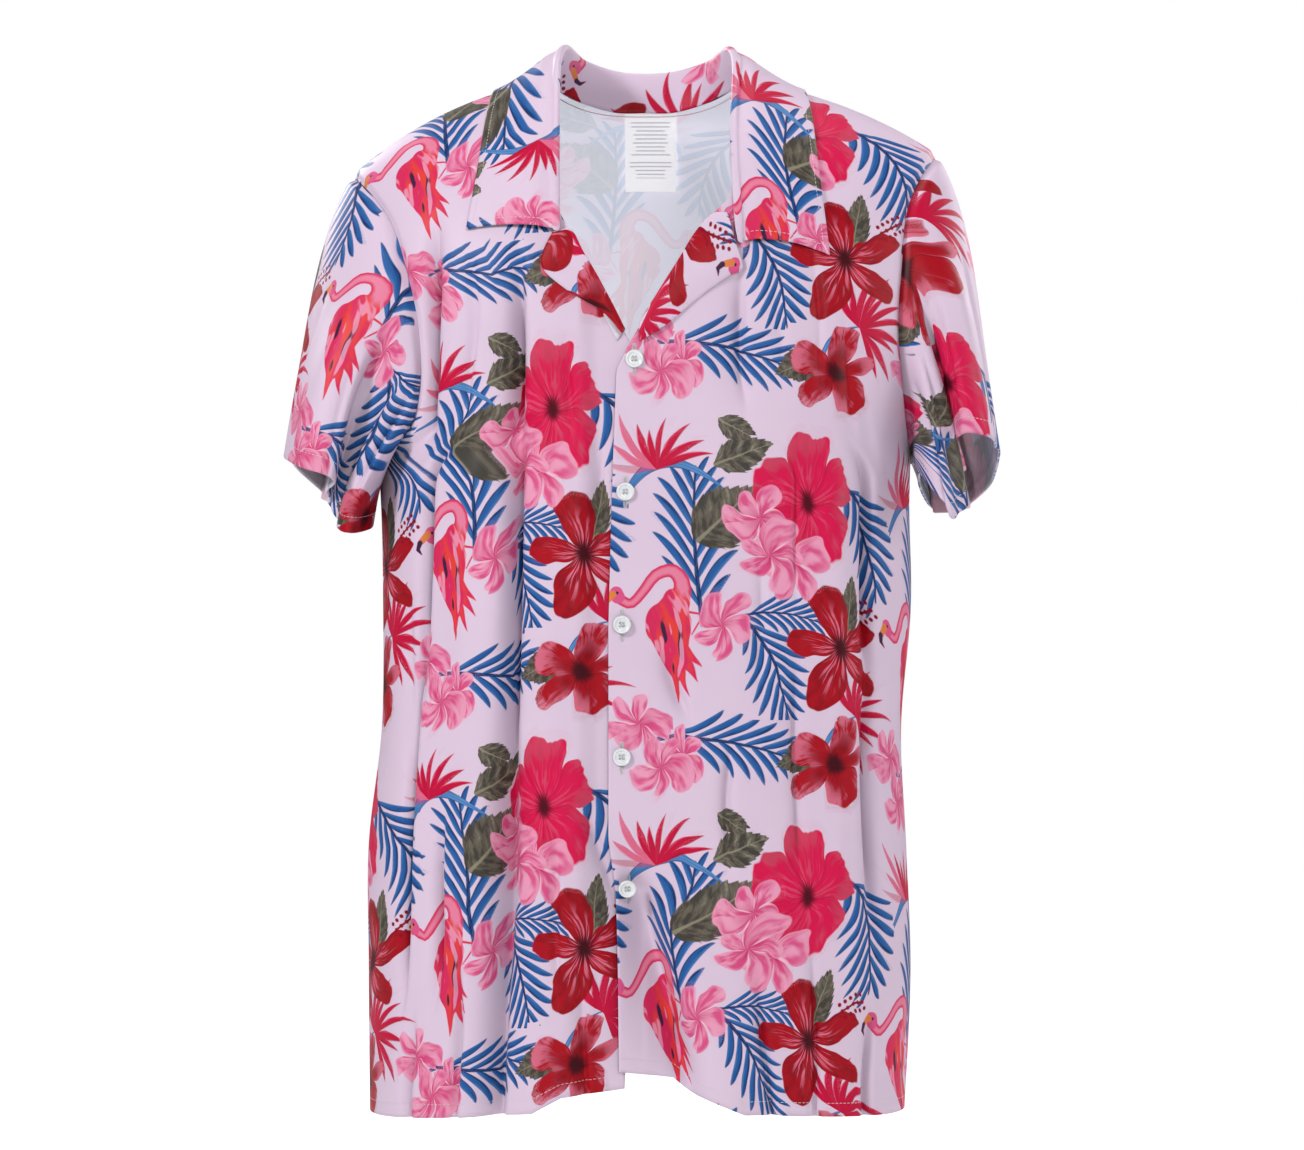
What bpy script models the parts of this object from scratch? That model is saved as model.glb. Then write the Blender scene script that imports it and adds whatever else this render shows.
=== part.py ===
"""Hawaiian shirt with a camp collar and short sleeves, filled out as if worn and hollow all through.

Every piece that is cut and sewn is its own closed wall of cloth: the back, two fronts, two sleeves, the
collar, the two lapels that the front facings turn out, five buttons and the neck label.  All the cloth is
read from one general form, so neighbouring pieces meet on the same seam lines.  Metres, +Z up.  The shirt
faces -Y, the wearer's left is +X, and the origin is the middle of the neck opening at shoulder height.
"""
import bpy
import numpy as np
from mathutils import Matrix, Vector
from mathutils.bvhtree import BVHTree

# ---- Driving dimensions, in metres ----
CLOTH = 0.0015  # wall of the shirt cloth
SEAM_GAP = 0.0003  # clearance between neighbouring pieces
SEAM_TRIM = 0.00027  # taken off each panel's own edge at a seam, a little more than half the gap
SEAM_ROW = 0.003  # first row of faces beside a seam, which lets two pieces meet flat
FACET_ROOM = 0.0004  # more clearance where two faceted pieces lie on each other
COLLAR_ROOM = 0.0014  # and under the collar, whose long facets turn over the shoulders

UNDERARM_Z = -0.256
NECK_HALF_WIDTH = 0.066  # from the middle to the neck end of the shoulder seam
TIP_X = 0.2015  # from the middle to the armhole end of the shoulder seam
SHOULDER_RISE = 0.012  # height of the shoulder line's crown over the origin
SHOULDER_DROP, SHOULDER_CURVE = 1.25, 8.0  # how the shoulder line falls with x squared and x to the fourth
SHOULDER_TILT = 0.9  # one shoulder a little higher than the other, with x cubed
ARCH_HEIGHT = 0.18  # fall over which the cloth rounds from the shoulder line to the chest
SQUARENESS = 2.4  # 2 would make each ring an ellipse
QUARTER_RING = 0.255  # length of cloth from the middle of a ring to the side seam
BACK_NECK_ANGLE = 27.0  # degrees round the arch from the shoulder line down to the back neck seam
NECK_SQUARENESS = 2.6  # how square the back neck seam turns up to the shoulder seams
SETTLING_PASSES = 8  # an x on a sloping row depends on its height, which depends on x
LEVELS_BELOW = 13  # rows of the grid from the hem to the underarm
LEVELS_AT_UNDERARM = (0.03, 0.09, 0.18)
ARCH_TURNS = (90, 72, 57, 43, 30, 18, 8, 2, 0)  # degrees round the arch, one row each, up to the shoulder
MIDDLE_Z = -0.30  # height of the point inside the shirt from which outward is judged
SLEEVE_MIDDLE = np.array([0.205, 0.0, -0.200])  # and the same inside the left sleeve

OVERLAP_DROP = 0.0038  # how far the under front sinks behind the top front at the buttons
OVERLAP_START, OVERLAP_BLEND = -0.046, 0.016  # where that begins, and over what width
OVERLAP_TOP_Z, OVERLAP_TOP_BLEND = -0.150, 0.020  # and down from the foot of the V

BUTTON_RADIUS, BUTTON_THICKNESS, BUTTON_BEVEL = 0.0060, 0.0022, 0.0005
BUTTON_COUNT, FIRST_BUTTON_Z, BUTTON_PITCH = 5, -0.1926, 0.0875
BUTTON_INSET = 0.0085  # from the free edge of the top front

LABEL_WIDTH, LABEL_DROP, LABEL_WALL = 0.036, 0.052, 0.0010
LABEL_X, LABEL_TOP_Z = 0.004, -0.0105

ROLL_RADIUS = 0.0028  # of the fold along the collar's roll line
LEAF_SETTLE = 1.7  # how soon the leaf comes down from the roll to the shirt
SLEEVE_EASE_TOP, SLEEVE_EASE_CUFF = 0.28, 0.40  # how long the sleeve keeps its direction at each end
SLEEVE_FALL = (0.16, 0.0, -1.0)  # direction in which it meets its cuff, on the left side
SLEEVE_FIRST = 0.02  # share of the length to its first row, close to the armhole
SLEEVE_OFF = 0.00065  # how far the sleeve starts off the panels at the tip, and three times that underneath
LONG_STEP = 0.026  # an armhole step over this gets a point in its middle

FRONT, BACK = -1, 1


def table(names, *rows):
    """Columns of a short table by name, with one row to each section, edge point or fold."""
    return dict(zip(names.split(), np.array(rows, float).T))


# Half width of the ring on each side, and how far the front and back stand from the middle, by height.
RINGS = table(
    "z      right  left   front  back",
    (-0.720, 0.189, 0.178, 0.108, 0.098),
    (-0.600, 0.190, 0.183, 0.109, 0.097),
    (-0.520, 0.190, 0.180, 0.111, 0.097),
    (-0.440, 0.181, 0.1765, 0.114, 0.099),
    (-0.360, 0.180, 0.183, 0.118, 0.102),
    (-0.256, 0.1835, 0.1835, 0.120, 0.109),
    (-0.170, 0.195, 0.200, 0.119, 0.113),
    (-0.100, 0.216, 0.218, 0.117, 0.113),
    (-0.050, 0.232, 0.232, 0.115, 0.111),
    (0.030, 0.240, 0.240, 0.112, 0.108),
)

# Armhole seam from the underarm (0) to the shoulder tip (1): height, and distance from the middle.
ARMHOLES = table(
    "level z      front_right front_left back",
    (0.00, -0.2560, 0.1835, 0.1835, 0.1835),
    (0.05, -0.2520, 0.1770, 0.1822, 0.1812),
    (0.12, -0.2400, 0.1610, 0.1802, 0.1765),
    (0.22, -0.2120, 0.1520, 0.1770, 0.1690),
    (0.36, -0.1700, 0.1525, 0.1725, 0.1640),
    (0.52, -0.1260, 0.1620, 0.1750, 0.1660),
    (0.68, -0.0960, 0.1715, 0.1780, 0.1730),
    (0.84, -0.0740, 0.1850, 0.1870, 0.1860),
    (1.00, -0.0540, 0.2015, 0.2015, 0.2015),
)

# Free edge of each front: down the buttons, then up the V and round the neck to the shoulder seam.
EDGE_LEFT = table(
    "z      x",
    (-0.720, -0.0160), (-0.600, -0.0175), (-0.550, -0.0190), (-0.510, -0.0234), (-0.370, -0.0234),
    (-0.270, -0.0207), (-0.200, -0.0181), (-0.178, -0.0090), (-0.160, 0.0020), (-0.137, 0.0143),
    (-0.122, 0.0240), (-0.098, 0.0405), (-0.085, 0.0550), (-0.050, 0.0625), (0.020, 0.0660),
)
EDGE_RIGHT = table(
    "z      x",
    (-0.720, -0.0160), (-0.660, -0.0130), (-0.600, -0.0060), (-0.550, -0.0010), (-0.400, 0.0010),
    (-0.220, 0.0000), (-0.190, -0.0040), (-0.178, -0.0100), (-0.134, -0.0320), (-0.090, -0.0570),
    (-0.050, -0.0630), (0.020, -0.0660),
)

# Height of the hem.  The fronts are caught up a little at the buttons.
HEM_FRONT_RIGHT = table(
    "x z", (-0.190, -0.702), (-0.120, -0.696), (-0.075, -0.692), (-0.055, -0.681), (0.000, -0.674)
)
HEM_FRONT_LEFT = table(
    "x z", (-0.020, -0.664), (0.020, -0.668), (0.035, -0.680), (0.065, -0.692), (0.178, -0.700)
)
HEM_BACK = table("x z", (-0.190, -0.702), (-0.080, -0.690), (0.060, -0.688), (0.178, -0.700))

# Folds on the fronts and back: where each starts and ends, how wide it is and how far it stands out.
FOLDS = table(
    "face  x_top   z_top   x_low   z_low   width   out",
    (-1, -0.080, -0.130, -0.091, -0.740, 0.0130, -0.0085),
    (-1, -0.110, -0.200, -0.122, -0.740, 0.0180, 0.0050),
    (-1, -0.056, -0.240, -0.062, -0.740, 0.0150, 0.0045),
    (-1, -0.136, -0.080, -0.143, -0.260, 0.0090, -0.0060),
    (-1, -0.158, -0.330, -0.160, -0.500, 0.0110, -0.0050),
    (-1, 0.062, -0.110, 0.070, -0.240, 0.0120, -0.0035),
    (-1, 0.100, -0.350, 0.106, -0.560, 0.0140, -0.0050),
    (-1, 0.148, -0.210, 0.156, -0.620, 0.0120, -0.0060),
    (-1, 0.128, -0.240, 0.130, -0.600, 0.0130, 0.0035),
    (-1, -0.004, -0.500, 0.012, -0.760, 0.0200, -0.0110),
    (-1, 0.050, -0.520, 0.066, -0.740, 0.0190, 0.0060),
    (-1, 0.004, -0.340, 0.030, -0.460, 0.0120, -0.0030),
    (1, -0.125, -0.120, -0.112, -0.740, 0.0150, -0.0080),
    (1, -0.060, -0.200, -0.052, -0.740, 0.0170, 0.0050),
    (1, 0.010, -0.260, 0.004, -0.740, 0.0160, -0.0070),
    (1, 0.070, -0.180, 0.064, -0.740, 0.0180, 0.0050),
    (1, 0.128, -0.140, 0.118, -0.740, 0.0140, -0.0080),
)
FOLD_FADE = 0.070  # length over which a fold comes up and dies away

# Direction in which the sleeve leaves its armhole, by how far round from the shoulder tip to the underarm.
SLEEVE_START = table(
    "turn outward across down", (0.0, 0.50, 0.00, 0.87), (0.5, 0.62, 0.22, 0.75), (1.0, 0.30, 0.00, 0.95)
)
# Cuff rings, by degrees from the outer side round by the front: distance from the middle, depth and height.
CUFF_RIGHT = table(
    "turn x     y      z",
    (0, 0.2475, 0.005, -0.2520), (40, 0.2430, -0.052, -0.2560), (65, 0.2280, -0.086, -0.2630),
    (85, 0.2120, -0.080, -0.2720), (97, 0.2050, -0.052, -0.2860), (112, 0.1990, -0.080, -0.3030),
    (135, 0.1900, -0.066, -0.3030), (155, 0.1875, -0.034, -0.2960), (180, 0.1880, 0.006, -0.2930),
    (210, 0.1920, 0.052, -0.2960), (240, 0.2040, 0.086, -0.2960), (262, 0.2150, 0.066, -0.2880),
    (285, 0.2280, 0.090, -0.2780), (320, 0.2440, 0.056, -0.2620), (360, 0.2475, 0.005, -0.2520),
)
CUFF_LEFT = table(
    "turn x     y      z",
    (0, 0.2440, 0.000, -0.2580), (35, 0.2380, -0.046, -0.2520), (60, 0.2240, -0.072, -0.2440),
    (76, 0.2130, -0.060, -0.2480), (88, 0.2100, -0.044, -0.2660), (102, 0.2120, -0.078, -0.2900),
    (125, 0.2010, -0.088, -0.2900), (150, 0.1900, -0.048, -0.2740), (180, 0.1885, 0.004, -0.2660),
    (210, 0.1930, 0.050, -0.2740), (240, 0.2050, 0.084, -0.2880), (265, 0.2180, 0.068, -0.2900),
    (290, 0.2320, 0.088, -0.2840), (325, 0.2430, 0.050, -0.2700), (360, 0.2440, 0.000, -0.2580),
)

# The collar from its right front end (-1) round the back of the neck (0) to its left front end (1): the
# neck seam and the leaf's edge lie on the form by x and degrees round the arch, the roll line stands free.
COLLAR = table(
    "place neck_x  neck_turn roll_x  roll_y  roll_z  edge_x  edge_turn",
    (-1.00, -0.0620, -66.0, -0.0580, -0.1140, -0.1070, -0.1175, -62.5),
    (-0.75, -0.0640, -40.0, -0.0585, -0.0800, -0.0330, -0.1090, -41.0),
    (-0.60, -0.0655, -16.0, -0.0585, -0.0330, 0.0170, -0.1035, -14.0),
    (-0.50, -0.0660, 2.0, -0.0550, 0.0030, 0.0310, -0.1010, 2.0),
    (-0.32, -0.0500, 18.0, -0.0420, 0.0440, 0.0260, -0.0900, 30.0),
    (-0.15, -0.0240, 26.0, -0.0200, 0.0580, 0.0200, -0.0420, 40.0),
    (0.00, 0.0000, 27.0, 0.0000, 0.0600, 0.0185, 0.0000, 42.0),
    (0.15, 0.0240, 26.0, 0.0220, 0.0580, 0.0200, 0.0440, 40.0),
    (0.32, 0.0500, 18.0, 0.0450, 0.0440, 0.0255, 0.0920, 30.0),
    (0.50, 0.0660, 2.0, 0.0590, 0.0030, 0.0300, 0.1080, 2.0),
    (0.60, 0.0655, -16.0, 0.0620, -0.0330, 0.0160, 0.1100, -15.0),
    (0.75, 0.0640, -40.0, 0.0590, -0.0800, -0.0340, 0.1150, -44.0),
    (1.00, 0.0625, -66.0, 0.0640, -0.1140, -0.1150, 0.1220, -69.0),
)

# The lapels: the turned edge down the V and the free edge on the shirt, from the notch to the top button.
LAPEL_RIGHT = table(
    "step fold_x   fold_z   edge_x   edge_z",
    (0.00, -0.0560, -0.1075, -0.0605, -0.1085), (0.12, -0.0490, -0.1060, -0.0660, -0.1200),
    (0.30, -0.0405, -0.1210, -0.0665, -0.1330), (0.48, -0.0320, -0.1355, -0.0510, -0.1470),
    (0.72, -0.0220, -0.1540, -0.0295, -0.1600), (1.00, -0.0125, -0.1730, -0.0150, -0.1760),
)
LAPEL_LEFT = table(
    "step fold_x   fold_z   edge_x   edge_z",
    (0.00, 0.0540, -0.0950, 0.0610, -0.1195), (0.12, 0.0450, -0.0960, 0.0660, -0.1310),
    (0.30, 0.0330, -0.1090, 0.0560, -0.1370), (0.48, 0.0240, -0.1240, 0.0395, -0.1490),
    (0.72, 0.0115, -0.1440, 0.0155, -0.1690), (1.00, -0.0040, -0.1690, -0.0025, -0.1810),
)


def smooth(at, keys, values):
    """Cubic curve through a column of a table, with each slope read from the rows on either side."""
    slopes = np.gradient(values, keys)
    at = np.clip(at, keys[0], keys[-1])
    low = np.clip(np.searchsorted(keys, at, side="right") - 1, 0, len(keys) - 2)
    span = keys[low + 1] - keys[low]
    t = (at - keys[low]) / span
    start = (1 + 2 * t) * (1 - t) ** 2 * values[low] + t * (1 - t) ** 2 * span * slopes[low]
    end = t * t * (3 - 2 * t) * values[low + 1] + t * t * (t - 1) * span * slopes[low + 1]
    return start + end


def ease(t):
    """0 up to t = 0 and 1 past t = 1, with a soft change between."""
    t = np.clip(t, 0, 1)
    return t * t * (3 - 2 * t)


def unit(vectors):
    return vectors / np.maximum(np.linalg.norm(vectors, axis=-1, keepdims=True), 1e-12)


# ---- The form that all the cloth is read from ----


def shoulder_z(x):
    """Height of the shoulder line, which curves down from the neck to the tip."""
    return SHOULDER_RISE - SHOULDER_DROP * x**2 - SHOULDER_CURVE * x**4 + SHOULDER_TILT * x**3


def half_width(z, side):
    right, left = (smooth(z, RINGS["z"], RINGS[name]) for name in ("right", "left"))
    return np.where(side < 0, right, left)


def depth(z, face):
    return smooth(z, RINGS["z"], RINGS["front" if face == FRONT else "back"])


def ring_turn(x, z):
    """Signed angle of the place x on the ring at height z: 0 in the middle, a quarter turn at the side."""
    share = np.clip(np.abs(x) / half_width(z, x), 0, 1) ** (SQUARENESS / 2)
    return np.sign(x) * np.arcsin(share)


def folds_out(turn, x, z, face):
    """How far the folds of one face stand out, each a soft ridge or trough about a slanting line."""
    out = np.zeros_like(x)
    for row in range(len(FOLDS["face"])):
        fold = {name: column[row] for name, column in FOLDS.items()}
        if fold["face"] != face:
            continue
        down = np.clip((fold["z_top"] - z) / (fold["z_top"] - fold["z_low"]), 0, 1)
        line = fold["x_top"] + (fold["x_low"] - fold["x_top"]) * down
        aside = (turn - ring_turn(line, z)) * QUARTER_RING / (np.pi / 2)
        fade = ease((fold["z_top"] - z) / FOLD_FADE) * ease((z - fold["z_low"]) / FOLD_FADE)
        out += fold["out"] * fade * np.exp(-((aside / fold["width"]) ** 2))
    return out


def form(turn, z, face, folded=True):
    """Points of the form: a squared ring at each height, arched over to nothing at the shoulder line."""
    side = np.sign(turn)
    reach = half_width(z, side)
    x = side * reach * np.abs(np.sin(turn)) ** (2 / SQUARENESS)
    fall = np.clip((shoulder_z(x) - z) / ARCH_HEIGHT, 0, 1)
    arch = np.sqrt(1 - (1 - fall) ** 2)
    y = face * depth(z, face) * np.abs(np.cos(turn)) ** (2 / SQUARENESS) * arch
    points = np.stack([x, y, z + 0 * x], -1)
    if folded:
        outward = unit(np.stack([x / reach**2, y / depth(z, face) ** 2, 0 * x], -1))
        points += outward * (folds_out(turn, x, z, face) * ease(2 * arch))[..., None]
    return points


def on_form(x, z, face, folded=True):
    return form(ring_turn(x, z), z, face, folded)


def over_shoulder(x, degrees, folded=True):
    """Point of the form at x, so many degrees round the arch from the shoulder line: back is positive."""
    z = shoulder_z(x) - ARCH_HEIGHT * (1 - np.cos(np.radians(degrees)))
    front, back = (on_form(x, z, face, folded) for face in (FRONT, BACK))
    return np.where((degrees < 0)[..., None], front, back)


def outward_at(place, *at, step=0.0005):
    """Unit normal of the form where place(a, b) is a point of it, turned to point away from the middle."""
    a, b = at
    scale = 180 if place is over_shoulder else 1
    along_a = place(a + step, b) - place(a - step, b)
    along_b = place(a, b + step * scale) - place(a, b - step * scale)
    normal = unit(np.cross(along_a, along_b))
    away = place(a, b) - np.array([0, 0, MIDDLE_Z])
    return normal * np.sign(np.sum(normal * away, -1, keepdims=True))


# ---- Body panels ----


def by_length(points, shares):
    """Points at these shares of the length of each row of points."""
    steps = np.linalg.norm(np.diff(points, axis=1), axis=-1)
    length = np.concatenate([np.zeros((len(points), 1)), np.cumsum(steps, axis=1)], axis=1)
    rows = []
    for row, run in zip(points, length):
        trimmed = SEAM_TRIM + shares(run[-1]) * (run[-1] - 2 * SEAM_TRIM)
        rows.append(np.stack([np.interp(trimmed, run, row[:, axis]) for axis in range(3)], -1))
    return np.array(rows)


def with_seam_rows(count):
    """Even shares of a row of cloth, and one close to each end."""
    inner = np.linspace(0, 1, count)
    return lambda length: np.concatenate(
        [[0], [SEAM_ROW / length], inner[1:-1], [1 - SEAM_ROW / length], [1]]
    )


def body_levels():
    """Levels from the hem (-1) by the underarm (0) to the shoulder (1), closer where the arch turns."""
    arch_share = ARCH_HEIGHT / (SHOULDER_RISE - UNDERARM_Z)
    arch = 1 - arch_share * (1 - np.cos(np.radians(ARCH_TURNS)))
    return np.concatenate([np.linspace(-1, 0, LEVELS_BELOW), LEVELS_AT_UNDERARM, arch])


def side_edge(level, name, side):
    """x and z of an armhole seam, brought to its own shoulder's height, and of the side seam below it."""
    z = smooth(level, ARMHOLES["level"], ARMHOLES["z"])
    z = z + (shoulder_z(side * TIP_X) - ARMHOLES["z"][-1]) * level**2
    x = smooth(level, ARMHOLES["level"], ARMHOLES[name])
    return np.where(level > 0, side * x, side * half_width(z, side)), z


def panel(first, last, top_z, hem, face, columns, levels):
    """Grid between two edges, each a function of the level that gives x and z.

    A row of the grid is a stretch of one ring.  Its height runs evenly from edge to edge, plus what brings
    the top row to the shoulder or neck line and the bottom row to the hem.
    """
    across = np.linspace(0, 1, 161)
    level = levels[:, None]
    ends = []
    for edge in (first, last):
        x, z = edge(np.maximum(level, 0))
        hem_z = np.interp(edge(np.array(0.0))[0], hem["x"], hem["z"])
        z = np.where(level < 0, UNDERARM_Z + (UNDERARM_Z - hem_z) * level, z)
        x = np.where(level < 0, edge.low_x(z), x)
        ends.append((np.where(edge.is_side & (level <= 0), edge.side * np.pi / 2, ring_turn(x, z)), z))
    (turn_a, z_a), (turn_b, z_b) = ends
    turn = turn_a + (turn_b - turn_a) * across
    z = z_a + (z_b - z_a) * across
    top, low = z[-1], z[0]
    for _ in range(SETTLING_PASSES):
        top = top_z(form(turn[-1], top, face, False)[:, 0])
        low = np.interp(form(turn[0], low, face, False)[:, 0], hem["x"], hem["z"])
    z = z + np.maximum(level, 0) ** 2 * (top - z[-1]) + np.maximum(-level, 0) * (low - z[0])
    points = form(turn, z, face)
    points[-1, :, 1] = face * np.maximum(np.abs(points[-1, :, 1]), SEAM_TRIM)
    return by_length(points, with_seam_rows(columns))


class Edge:
    """One side of a body panel: its x and z by level over the underarm, and its x by height below."""

    def __init__(self, above, low_x, side=0):
        self.above, self.low_x, self.side, self.is_side = above, low_x, side, side != 0

    def __call__(self, level):
        return self.above(level)


def seam_edge(name, side):
    return Edge(lambda level: side_edge(level, name, side), lambda z: side * half_width(z, side), side)


def free_edge(edge):
    neck_z = shoulder_z(edge["x"][-1])

    def above(level):
        z = UNDERARM_Z + (neck_z - UNDERARM_Z) * level
        return np.interp(z, edge["z"], edge["x"]), z

    return Edge(above, lambda z: np.interp(z, edge["z"], edge["x"]))


def back_top_z(x):
    """The shoulder line, dipping between the shoulder seams to the back neck seam."""
    share = np.clip(np.abs(x) / NECK_HALF_WIDTH, 0, 1)
    turn = np.radians(BACK_NECK_ANGLE) * np.sqrt(1 - share**NECK_SQUARENESS)
    return shoulder_z(x) - ARCH_HEIGHT * (1 - np.cos(turn))


def back_grid():
    return panel(
        seam_edge("back", -1), seam_edge("back", 1), back_top_z, HEM_BACK, BACK, 21, body_levels()
    )


def front_left_grid():
    """The top front, whose free edge carries the buttonholes."""
    free, seam = free_edge(EDGE_LEFT), seam_edge("front_left", 1)
    return panel(free, seam, shoulder_z, HEM_FRONT_LEFT, FRONT, 15, body_levels())


def front_right_grid():
    """The under front, sunk behind the top front where the two overlap below the V."""
    free, seam = free_edge(EDGE_RIGHT), seam_edge("front_right", -1)
    grid = panel(free, seam, shoulder_z, HEM_FRONT_RIGHT, FRONT, 15, body_levels())
    x, z = grid[..., 0], grid[..., 2]
    below_v = ease((OVERLAP_TOP_Z - z) / OVERLAP_TOP_BLEND)
    grid[..., 1] += OVERLAP_DROP * ease((x - OVERLAP_START) / OVERLAP_BLEND) * below_v
    return grid


# ---- Sleeves ----


def armhole_loop(front, back, side):
    """Points round the armhole from the shoulder tip by the front, the underarm and the back.

    They are the end points of the two panels' rows, so that the facets meet too, and a point of the form
    halfway along each long step between them.  The row right beside the shoulder seam is left out.  With
    each point goes how far round it is: 0 at the tip, 1 at the underarm, nearly 2 again below the tip.
    """
    first = np.argmin(np.abs(body_levels()))
    rows = [*range(first, len(front) - 2), len(front) - 1]
    down_front, up_back = front[rows[::-1], -1], back[rows[1:], -1 if side > 0 else 0]
    halves = []
    for face, run in ((FRONT, down_front), (BACK, np.concatenate([down_front[-1:], up_back]))):
        points = [run[0]]
        for here, there in zip(run, run[1:]):
            if np.linalg.norm(there - here) > LONG_STEP:
                x, _, z = (here + there) / 2
                points.append(on_form(np.array(x), z, face))
            points.append(there)
        length = np.cumsum([0, *np.linalg.norm(np.diff(points, axis=0), axis=1)])
        halves.append((np.array(points), length / length[-1]))
    (front_points, front_turn), (back_points, back_turn) = halves
    turn = np.concatenate([front_turn, 1 + back_turn[1:-1]])
    return np.concatenate([front_points, back_points[1:-1]]), turn


def sleeve_grid(front, back, side, cuff, rows=8):
    """Tube from the armhole seam to the cuff, each line of it a cubic that starts outward and ends down."""
    start, turn = armhole_loop(front, back, side)
    under = 1 - np.abs(1 - turn)
    towards = np.stack(
        [
            side * np.interp(under, SLEEVE_START["turn"], SLEEVE_START["outward"]),
            np.interp(under, SLEEVE_START["turn"], SLEEVE_START["across"]) * np.sign(turn - 1),
            -np.interp(under, SLEEVE_START["turn"], SLEEVE_START["down"]),
        ],
        -1,
    )
    towards = unit(towards)
    off_body = unit(start * [1, 1, 0]) * (1 + under)[:, None] + [side, 0, 0]
    start = start + off_body * SLEEVE_OFF
    end = np.stack([smooth(turn * 180, cuff["turn"], cuff[axis]) for axis in "xyz"], -1)
    end[:, 0] *= side
    run = np.linalg.norm(end - start, axis=1, keepdims=True)
    fall = unit(np.array(SLEEVE_FALL) * [side, 1, 1])
    handle_a = start + towards * run * SLEEVE_EASE_TOP
    handle_b = end - fall * run * SLEEVE_EASE_CUFF
    grid = []
    for t in np.concatenate([[0], np.linspace(SLEEVE_FIRST, 1, rows)]):
        near = (1 - t) ** 3 * start + 3 * t * (1 - t) ** 2 * handle_a
        grid.append(near + 3 * t * t * (1 - t) * handle_b + t**3 * end)
    return np.array(grid)


# ---- Collar and lapels, which lie on the body panels ----


def collar_grid(count=25):
    """Sections round the neck: up the stand, over the roll and down the leaf on to the shirt."""
    place = np.linspace(-1, 1, count)
    row = {name: smooth(place, COLLAR["place"], column) for name, column in COLLAR.items()}
    seam = over_shoulder(row["neck_x"], row["neck_turn"])
    to_neck = np.stack([-seam[:, 0], -np.maximum(seam[:, 1], 0), 0 * place], -1)
    seam = seam + unit(to_neck) * (CLOTH + SEAM_GAP + COLLAR_ROOM / 2)
    seam += outward_at(over_shoulder, row["neck_x"], row["neck_turn"]) * COLLAR_ROOM
    roll = np.stack([row["roll_x"], row["roll_y"], row["roll_z"]], -1)
    edge = over_shoulder(row["edge_x"], row["edge_turn"])
    outward = unit(np.cross(np.gradient(roll, axis=0), roll - seam))
    outward *= np.sign(np.sum(outward * (edge - roll), -1, keepdims=True))
    up = unit(roll - seam)
    sections = [seam, 0.5 * seam + 0.5 * (roll - up * ROLL_RADIUS - outward * ROLL_RADIUS)]
    for turn in np.radians([180, 120, 60]):
        sections.append(roll + ROLL_RADIUS * (outward * np.cos(turn) + up * (np.sin(turn) - 1)))
    lie = CLOTH + SEAM_GAP + COLLAR_ROOM
    rise = roll + ROLL_RADIUS * (outward - up) - over_shoulder(row["neck_x"], row["neck_turn"])
    for share in (0.12, 0.3, 0.5, 0.75, 1.0):
        x = row["neck_x"] + (row["edge_x"] - row["neck_x"]) * share
        turn = row["neck_turn"] + (row["edge_turn"] - row["neck_turn"]) * share
        normal = outward_at(over_shoulder, x, turn)
        settled = over_shoulder(x, turn) + normal * lie
        sections.append(settled + rise * (1 - share) ** LEAF_SETTLE)
    return np.array(sections)


def lapel_grid(lapel, count=9, across=4):
    """Turned-out strip of facing on its front, moved out by the cloth under it and a small gap."""
    step = np.linspace(0, 1, count)
    row = {name: np.interp(step, lapel["step"], column) for name, column in lapel.items()}
    lie = CLOTH + SEAM_GAP + FACET_ROOM
    lines = []
    for share in np.linspace(0, 1, across):
        x = row["fold_x"] + (row["edge_x"] - row["fold_x"]) * share
        z = row["fold_z"] + (row["edge_z"] - row["fold_z"]) * share
        place = lambda a, b: on_form(a, b, FRONT)
        lines.append(place(x, z) + outward_at(place, x, z) * lie)
    return np.array(lines)


def label_grid(back, columns=5, rows=5):
    """Label inside the back neck, made from the back's own points moved in."""
    tree = tree_of(back)
    lines = []
    for z in LABEL_TOP_Z - np.linspace(0, 1, rows) * LABEL_DROP:
        for x in LABEL_X + np.linspace(-0.5, 0.5, columns) * LABEL_WIDTH:
            point, normal = tree.ray_cast(Vector((x, 0, z)), Vector((0, 1, 0)))[:2]
            normal *= 1 if normal.y > 0 else -1
            lines.append(point - normal * (CLOTH + SEAM_GAP + FACET_ROOM + LABEL_WALL))
    return np.array(lines).reshape(rows, columns, 3)


def grid_faces(grid, closed=False):
    """Quads of a grid of points, whose last column meets its first if it is closed."""
    rows, columns = grid.shape[:2]
    corner = np.arange(rows * columns).reshape(rows, columns)
    if closed:
        corner = np.concatenate([corner, corner[:, :1]], axis=1)
    return np.stack([corner[:-1, :-1], corner[:-1, 1:], corner[1:, 1:], corner[1:, :-1]], -1).reshape(-1, 4)


def tree_of(grid):
    return BVHTree.FromPolygons(grid.reshape(-1, 3).tolist(), grid_faces(grid).tolist())


# ---- Blender objects ----


def fabric(name, colour, roughness):
    material = bpy.data.materials.new(name)
    material.use_nodes = True
    shader = material.node_tree.nodes["Principled BSDF"]
    shader.inputs["Base Color"].default_value = (*colour, 1)
    shader.inputs["Roughness"].default_value = roughness
    return material


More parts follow.
